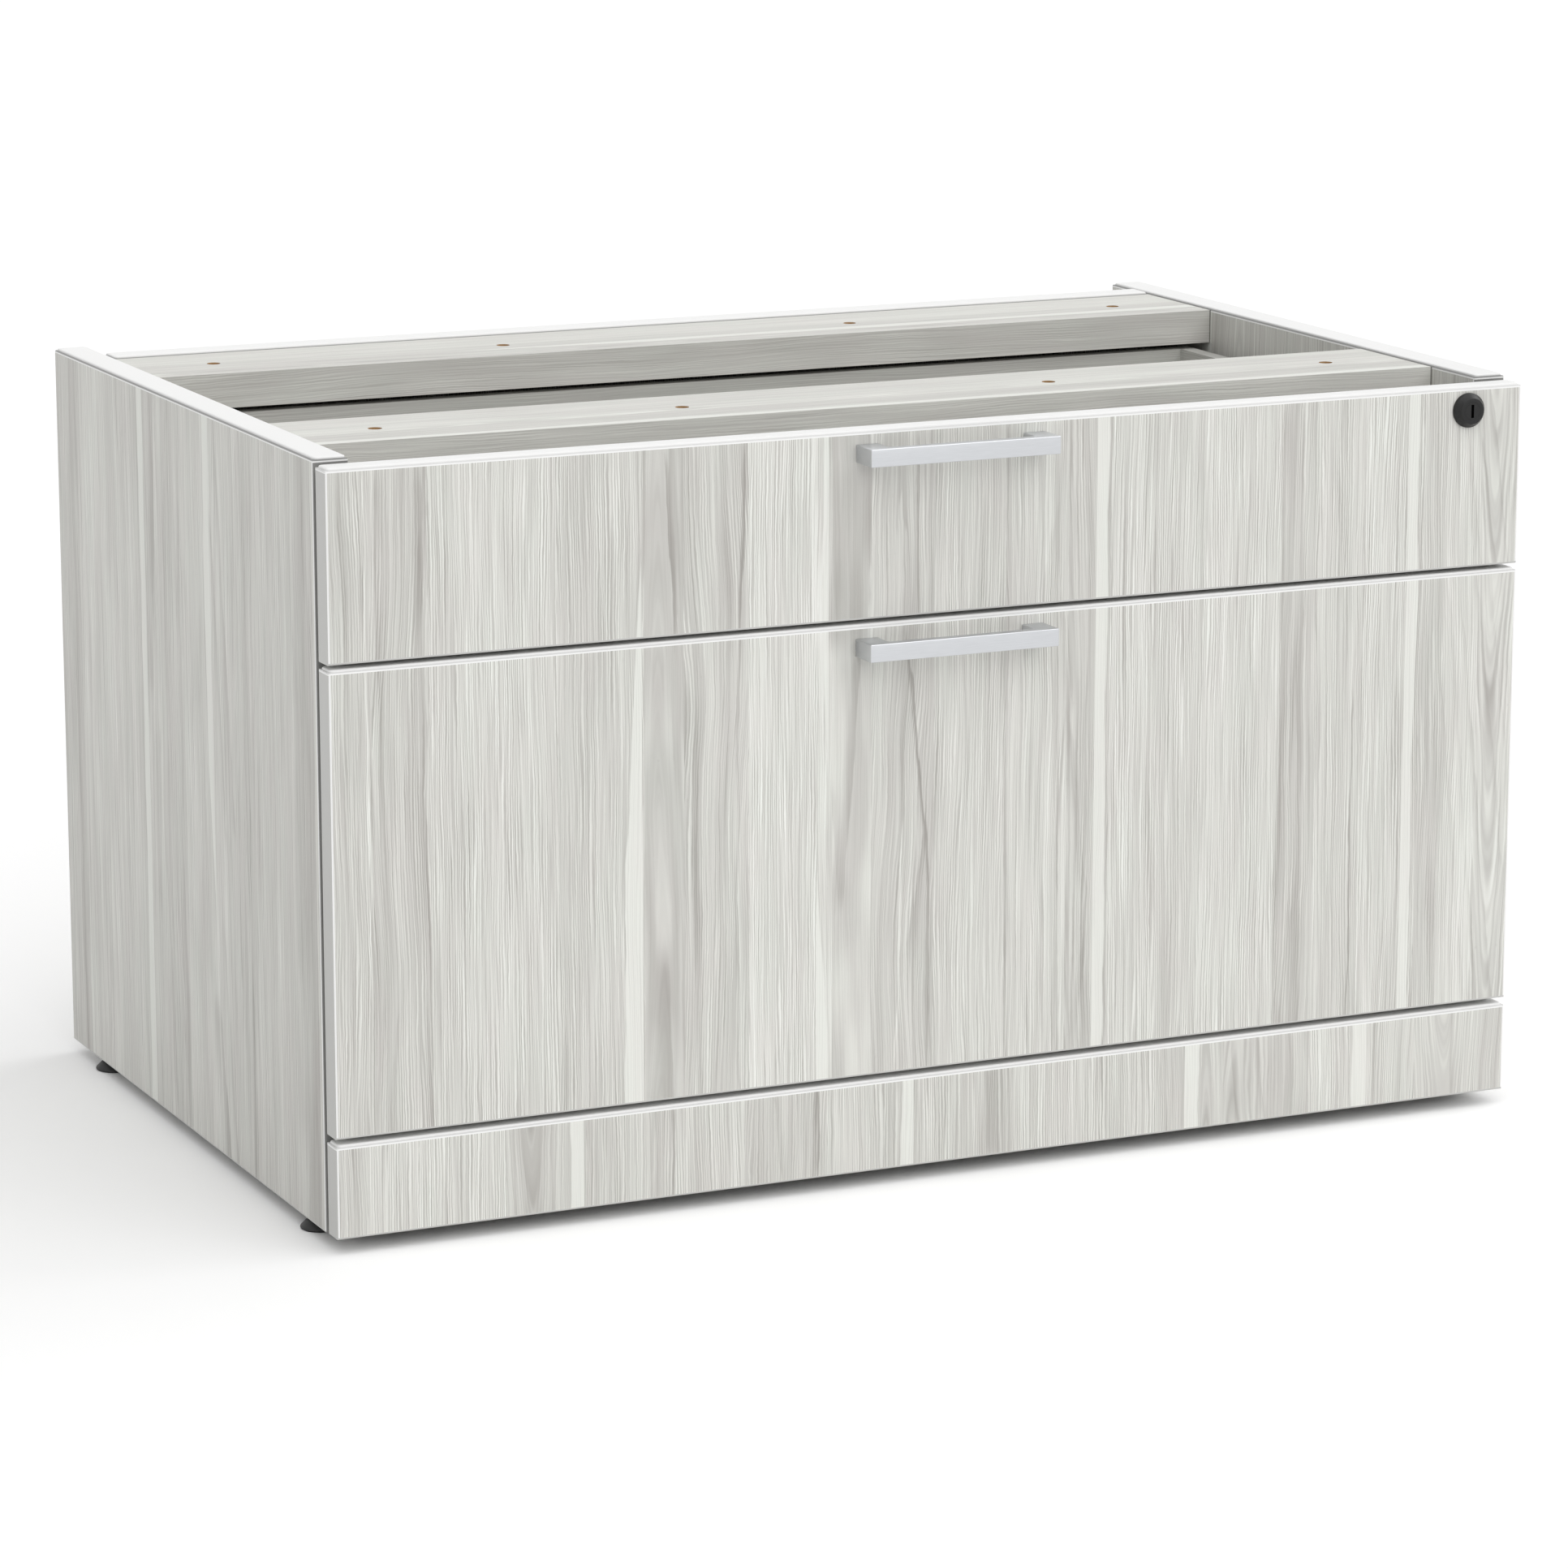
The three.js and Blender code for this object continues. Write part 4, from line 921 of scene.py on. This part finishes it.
def speckled(name, tint, dark, scale, **surface):
    """A finish of one tint, mottled by noise of a scale in millimetres along each axis."""
    finish = Finish(name)
    axes = ((1, 0, 0), (0, 1, 0), (0, 0, 1))
    spots = [finish.math("DIVIDE", finish.along(axis), size) for axis, size in zip(axes, scale)]
    mottle = finish.noise(*spots, 3.0)
    shade = finish.ramp(mottle, [(0.3, tuple(dark * part for part in tint)), (0.7, tuple(tint))])
    roughness = finish.math("ADD", finish.centred(mottle, 0.14), surface.pop("roughness"))
    finish.bump(mottle, 0.05, 0.0001)
    return finish.surface(base_color=shade, roughness=roughness, **surface)


class CABINET_OT_pulls(bpy.types.Operator):
    """Make the two square satin pulls"""

    bl_idname = "cabinet.pulls"
    bl_label = "Pulls"

    def execute(self, context):
        metal, sizes = context.scene.cabinet_metal, context.scene.cabinet_hardware
        silver = speckled(
            "satin_silver", metal.pull, 0.94, (12.0, 1.0, 0.4), metallic=1.0, roughness=metal.pull_roughness
        )
        for drawer in ("upper", "lower"):
            low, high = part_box(f"{drawer}_pull")
            leg, bar = sizes.pull_leg, low.y + sizes.pull_bar
            corners = [
                (low.x, low.y), (high.x, low.y), (high.x, high.y), (high.x - leg, high.y),
                (high.x - leg, bar), (low.x + leg, bar), (low.x + leg, high.y), (low.x, high.y),
            ]
            rings = rounded_prism(corners, low.z, high.z, sizes.pull_corner, sizes.pull_edge)
            pull = piece(f"{drawer}_satin_pull", [stack(rings)], f"{drawer}_drawer", silver)
            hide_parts(f"{drawer}_pull")
        return {"FINISHED"}


class CABINET_OT_lock(bpy.types.Operator):
    """Make the lock's rounded housing and dress its plug"""

    bl_idname = "cabinet.lock"
    bl_label = "Lock"

    def execute(self, context):
        settings, sizes = context.scene.cabinet_black, context.scene.cabinet_hardware
        black = speckled(
            "satin_black", settings.lock, 0.8, (2.0, 2.0, 2.0), roughness=0.42, specular_ior_level=0.42
        )
        low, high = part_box("lock_housing")
        middle = ((low.x + high.x) / 2, 0.0, (low.z + high.z) / 2)
        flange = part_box("upper_front_panel")[0].y
        rim = (high.x - low.x) / 2
        face, bore = sizes.lock_face / 2, sizes.lock_bore / 2
        front, back, lip = low.y, high.y, flange - sizes.lock_rim
        profile = [
            (bore, back), (bore, front + 0.0001), (bore + 0.0001, front), (face - 0.0008, front),
            (face - 0.0002, front + 0.0002), (face + 0.0001, front + 0.0007), (rim - 0.0006, lip - 0.0006),
            (rim - 0.0001, lip), (rim, lip + 0.0006), (rim, flange - 0.0003), (rim - 0.0003, flange),
            (face, flange), (face, back - 0.0004), (face - 0.0004, back),
        ]
        housing = piece(
            "lock_body", [stack(turned(profile, 64, middle, (0.0, 1.0, 0.0)), closed=True)],
            "upper_drawer", black,
        )
        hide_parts("lock_housing")
        dress(black, "lock_plug")
        return {"FINISHED"}


class CABINET_OT_levellers(bpy.types.Operator):
    """Make the four levelling feet with their threaded stems"""

    bl_idname = "cabinet.levellers"
    bl_label = "Levellers"

    def execute(self, context):
        settings, sizes = context.scene.cabinet_black, context.scene.cabinet_hardware
        moulded = speckled("moulded_black", settings.foot, 0.8, (3.0, 3.0, 3.0), roughness=0.55)
        for end in ("front", "rear"):
            for side in ("left", "right"):
                low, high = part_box(f"leveller_{end}_{side}")
                centre = ((low.x + high.x) / 2, (low.y + high.y) / 2, low.z)
                foot = piece(
                    f"foot_{end}_{side}", [stack(threaded_foot(centre, sizes))],
                    f"leveller_{end}_{side}_body", moulded, crease=50.0,
                )
                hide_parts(f"leveller_{end}_{side}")
        return {"FINISHED"}


class CABINET_OT_slides(bpy.types.Operator):
    """Dress the slides, cages, file bars, cam and keeper, and add the screws"""

    bl_idname = "cabinet.slides"
    bl_label = "Slides and Screws"

    def execute(self, context):
        metal, sizes = context.scene.cabinet_metal, context.scene.cabinet_hardware
        zinc = speckled("zinc_sheet", metal.zinc, 0.86, (3.0, 40.0, 3.0), metallic=1.0, roughness=0.36)
        cage = speckled("cage_strip", metal.cage, 0.9, (2.0, 12.0, 2.0), metallic=1.0, roughness=0.30)
        members = [name for name in NODES if name.endswith(("slide_outer", "slide_middle", "slide_inner"))]
        bars = [name for name in NODES if name.startswith("file_bar")]
        dress(zinc, *members, *bars, "lock_cam", "lock_keeper")
        dress(cage, *(name for name in NODES if name.endswith("_cage")))

        radius, height = sizes.screw_head / 2, sizes.screw_rise
        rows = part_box("upper_left_slide_outer")[0].y + np.array(sizes.screw_places)
        heads = {"carcass": [], "upper_drawer": [], "lower_drawer": []}
        for drawer in ("upper", "lower"):
            for side, hand in (("left", -1.0), ("right", 1.0)):
                for member, body, way in (("outer", "carcass", -hand), ("inner", f"{drawer}_drawer", hand)):
                    low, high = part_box(f"{drawer}_{side}_slide_{member}")
                    web = (high.x if hand > 0 else low.x) - hand * sizes.sheet
                    if member == "inner":
                        web = (low.x if hand > 0 else high.x) + hand * sizes.sheet
                    for row in rows:
                        spot = (web, row, (low.z + high.z) / 2)
                        heads[body].append(stack(pan_head(spot, (way, 0.0, 0.0), radius, height)))
            low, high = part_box(f"{drawer}_front_panel")
            pull_low, pull_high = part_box(f"{drawer}_pull")
            for x in (pull_low.x + sizes.pull_leg / 2, pull_high.x - sizes.pull_leg / 2):
                spot = (x, high.y, (pull_low.z + pull_high.z) / 2)
                heads[f"{drawer}_drawer"].append(
                    stack(pan_head(spot, (0.0, 1.0, 0.0), sizes.fixing_head / 2, sizes.fixing_rise))
                )
            low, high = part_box(f"{drawer}_box_front")
            for x in (-0.30, -0.10, 0.10, 0.30):
                spot = (x, high.y, (low.z + high.z) / 2 + 0.012)
                heads[f"{drawer}_drawer"].append(
                    stack(pan_head(spot, (0.0, 1.0, 0.0), sizes.fixing_head / 2, sizes.fixing_rise))
                )
        for body, shells in heads.items():
            piece(f"{body}_screws", shells, body, zinc)
        low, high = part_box("lock_cam")
        plug_low, plug_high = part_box("lock_plug")
        spot = ((plug_low.x + plug_high.x) / 2, high.y, (plug_low.z + plug_high.z) / 2)
        piece("cam_screw", [stack(pan_head(spot, (0.0, 1.0, 0.0), 0.0048, 0.0024))], "lock", zinc)
        return {"FINISHED"}


class CABINET_OT_stage(bpy.types.Operator):
    """Make the pale floor, the soft light and the camera"""

    bl_idname = "cabinet.stage"
    bl_label = "Stage"

    def execute(self, context):
        scene = context.scene
        stage = scene.cabinet_stage
        scene.view_settings.view_transform = "Standard"
        reach = stage.floor_reach
        corners = [(-reach, -reach, 0), (reach, -reach, 0), (reach, reach, 0), (-reach, reach, 0)]
        mesh = bpy.data.meshes.new("floor")
        mesh.from_pydata(corners, [], [(0, 1, 2, 3)])
        floor = bpy.data.objects.new("floor", mesh)
        scene.collection.objects.link(floor)
        paper = Finish("floor_paper")
        paths = paper.add("ShaderNodeLightPath").outputs
        seen = paper.math("MAXIMUM", paths["Is Camera Ray"], paths["Is Glossy Ray"])
        seen = paper.math("MAXIMUM", seen, paths["Is Transmission Ray"])
        matt = paper.add("ShaderNodeBsdfDiffuse")
        paper.feed(matt.inputs["Color"], paper.mix(seen, stage.floor, (stage.floor_seen,) * 3))
        paper.feed(paper.tree.nodes["Material Output"].inputs["Surface"], matt.outputs[0])
        mesh.materials.append(paper.material)

        world = bpy.data.worlds.new("studio")
        world.use_nodes = True
        scene.world = world
        nodes, links = world.node_tree.nodes, world.node_tree.links
        paths = nodes.new("ShaderNodeLightPath").outputs
        seen = nodes.new("ShaderNodeMath")
        seen.operation = "MAXIMUM"
        links.new(paths["Is Camera Ray"], seen.inputs[0])
        links.new(paths["Is Glossy Ray"], seen.inputs[1])
        seen_all = nodes.new("ShaderNodeMath")
        seen_all.operation = "MAXIMUM"
        links.new(seen.outputs[0], seen_all.inputs[0])
        links.new(paths["Is Transmission Ray"], seen_all.inputs[1])
        strength = nodes.new("ShaderNodeMapRange")
        strength.inputs["To Min"].default_value = stage.sky
        strength.inputs["To Max"].default_value = 1.0
        links.new(seen_all.outputs[0], strength.inputs["Value"])
        nodes["Background"].inputs["Color"].default_value = (1, 1, 1, 1)
        links.new(strength.outputs[0], nodes["Background"].inputs["Strength"])

        for name in ("key", "fill"):
            lamp = bpy.data.lights.new(name, "SUN")
            lamp.energy = getattr(stage, name)
            lamp.angle = getattr(stage, f"{name}_spread")
            light = bpy.data.objects.new(name, lamp)
            aim = Vector(getattr(stage, f"{name}_from"))
            light.rotation_euler = aim.to_track_quat("Z", "Y").to_euler()
            scene.collection.objects.link(light)

        lens = bpy.data.cameras.new("camera")
        lens.lens = stage.focal
        lens.sensor_width = 36.0
        lens.clip_end = 200.0
        camera = bpy.data.objects.new("camera", lens)
        camera.location = stage.eye
        camera.rotation_euler = (math.pi / 2 - stage.pitch, 0.0, -stage.yaw)
        scene.collection.objects.link(camera)
        scene.camera = camera
        return {"FINISHED"}


class CABINET_PT_panel(bpy.types.Panel):
    """Shows a button for each of the cabinet's operators"""

    bl_idname = "CABINET_PT_panel"
    bl_label = "Filing Cabinet"
    bl_space_type = "VIEW_3D"
    bl_region_type = "UI"
    bl_category = "Cabinet"

    def draw(self, context):
        for operator in OPERATORS:
            self.layout.operator(operator.bl_idname)


SETTINGS = {
    "cabinet_laminate": LaminateSettings,
    "cabinet_edges": EdgeSettings,
    "cabinet_metal": MetalSettings,
    "cabinet_black": BlackSettings,
    "cabinet_hardware": HardwareSettings,
    "cabinet_stage": StageSettings,
}
OPERATORS = (
    CABINET_OT_laminate_boards,
    CABINET_OT_drawer_boxes,
    CABINET_OT_edge_bands,
    CABINET_OT_pulls,
    CABINET_OT_lock,
    CABINET_OT_levellers,
    CABINET_OT_slides,
    CABINET_OT_stage,
)


def register():
    for group in (*SETTINGS.values(), *OPERATORS, CABINET_PT_panel):
        bpy.utils.register_class(group)
    for name, group in SETTINGS.items():
        setattr(bpy.types.Scene, name, PointerProperty(type=group))


def unregister():
    for name in SETTINGS:
        delattr(bpy.types.Scene, name)
    for group in reversed((*SETTINGS.values(), *OPERATORS, CABINET_PT_panel)):
        bpy.utils.unregister_class(group)


def main():
    register()
    bpy.ops.cabinet.laminate_boards()
    bpy.ops.cabinet.drawer_boxes()
    bpy.ops.cabinet.edge_bands()
    bpy.ops.cabinet.pulls()
    bpy.ops.cabinet.lock()
    bpy.ops.cabinet.levellers()
    bpy.ops.cabinet.slides()
    bpy.ops.cabinet.stage()


if __name__ == "__main__":
    main()
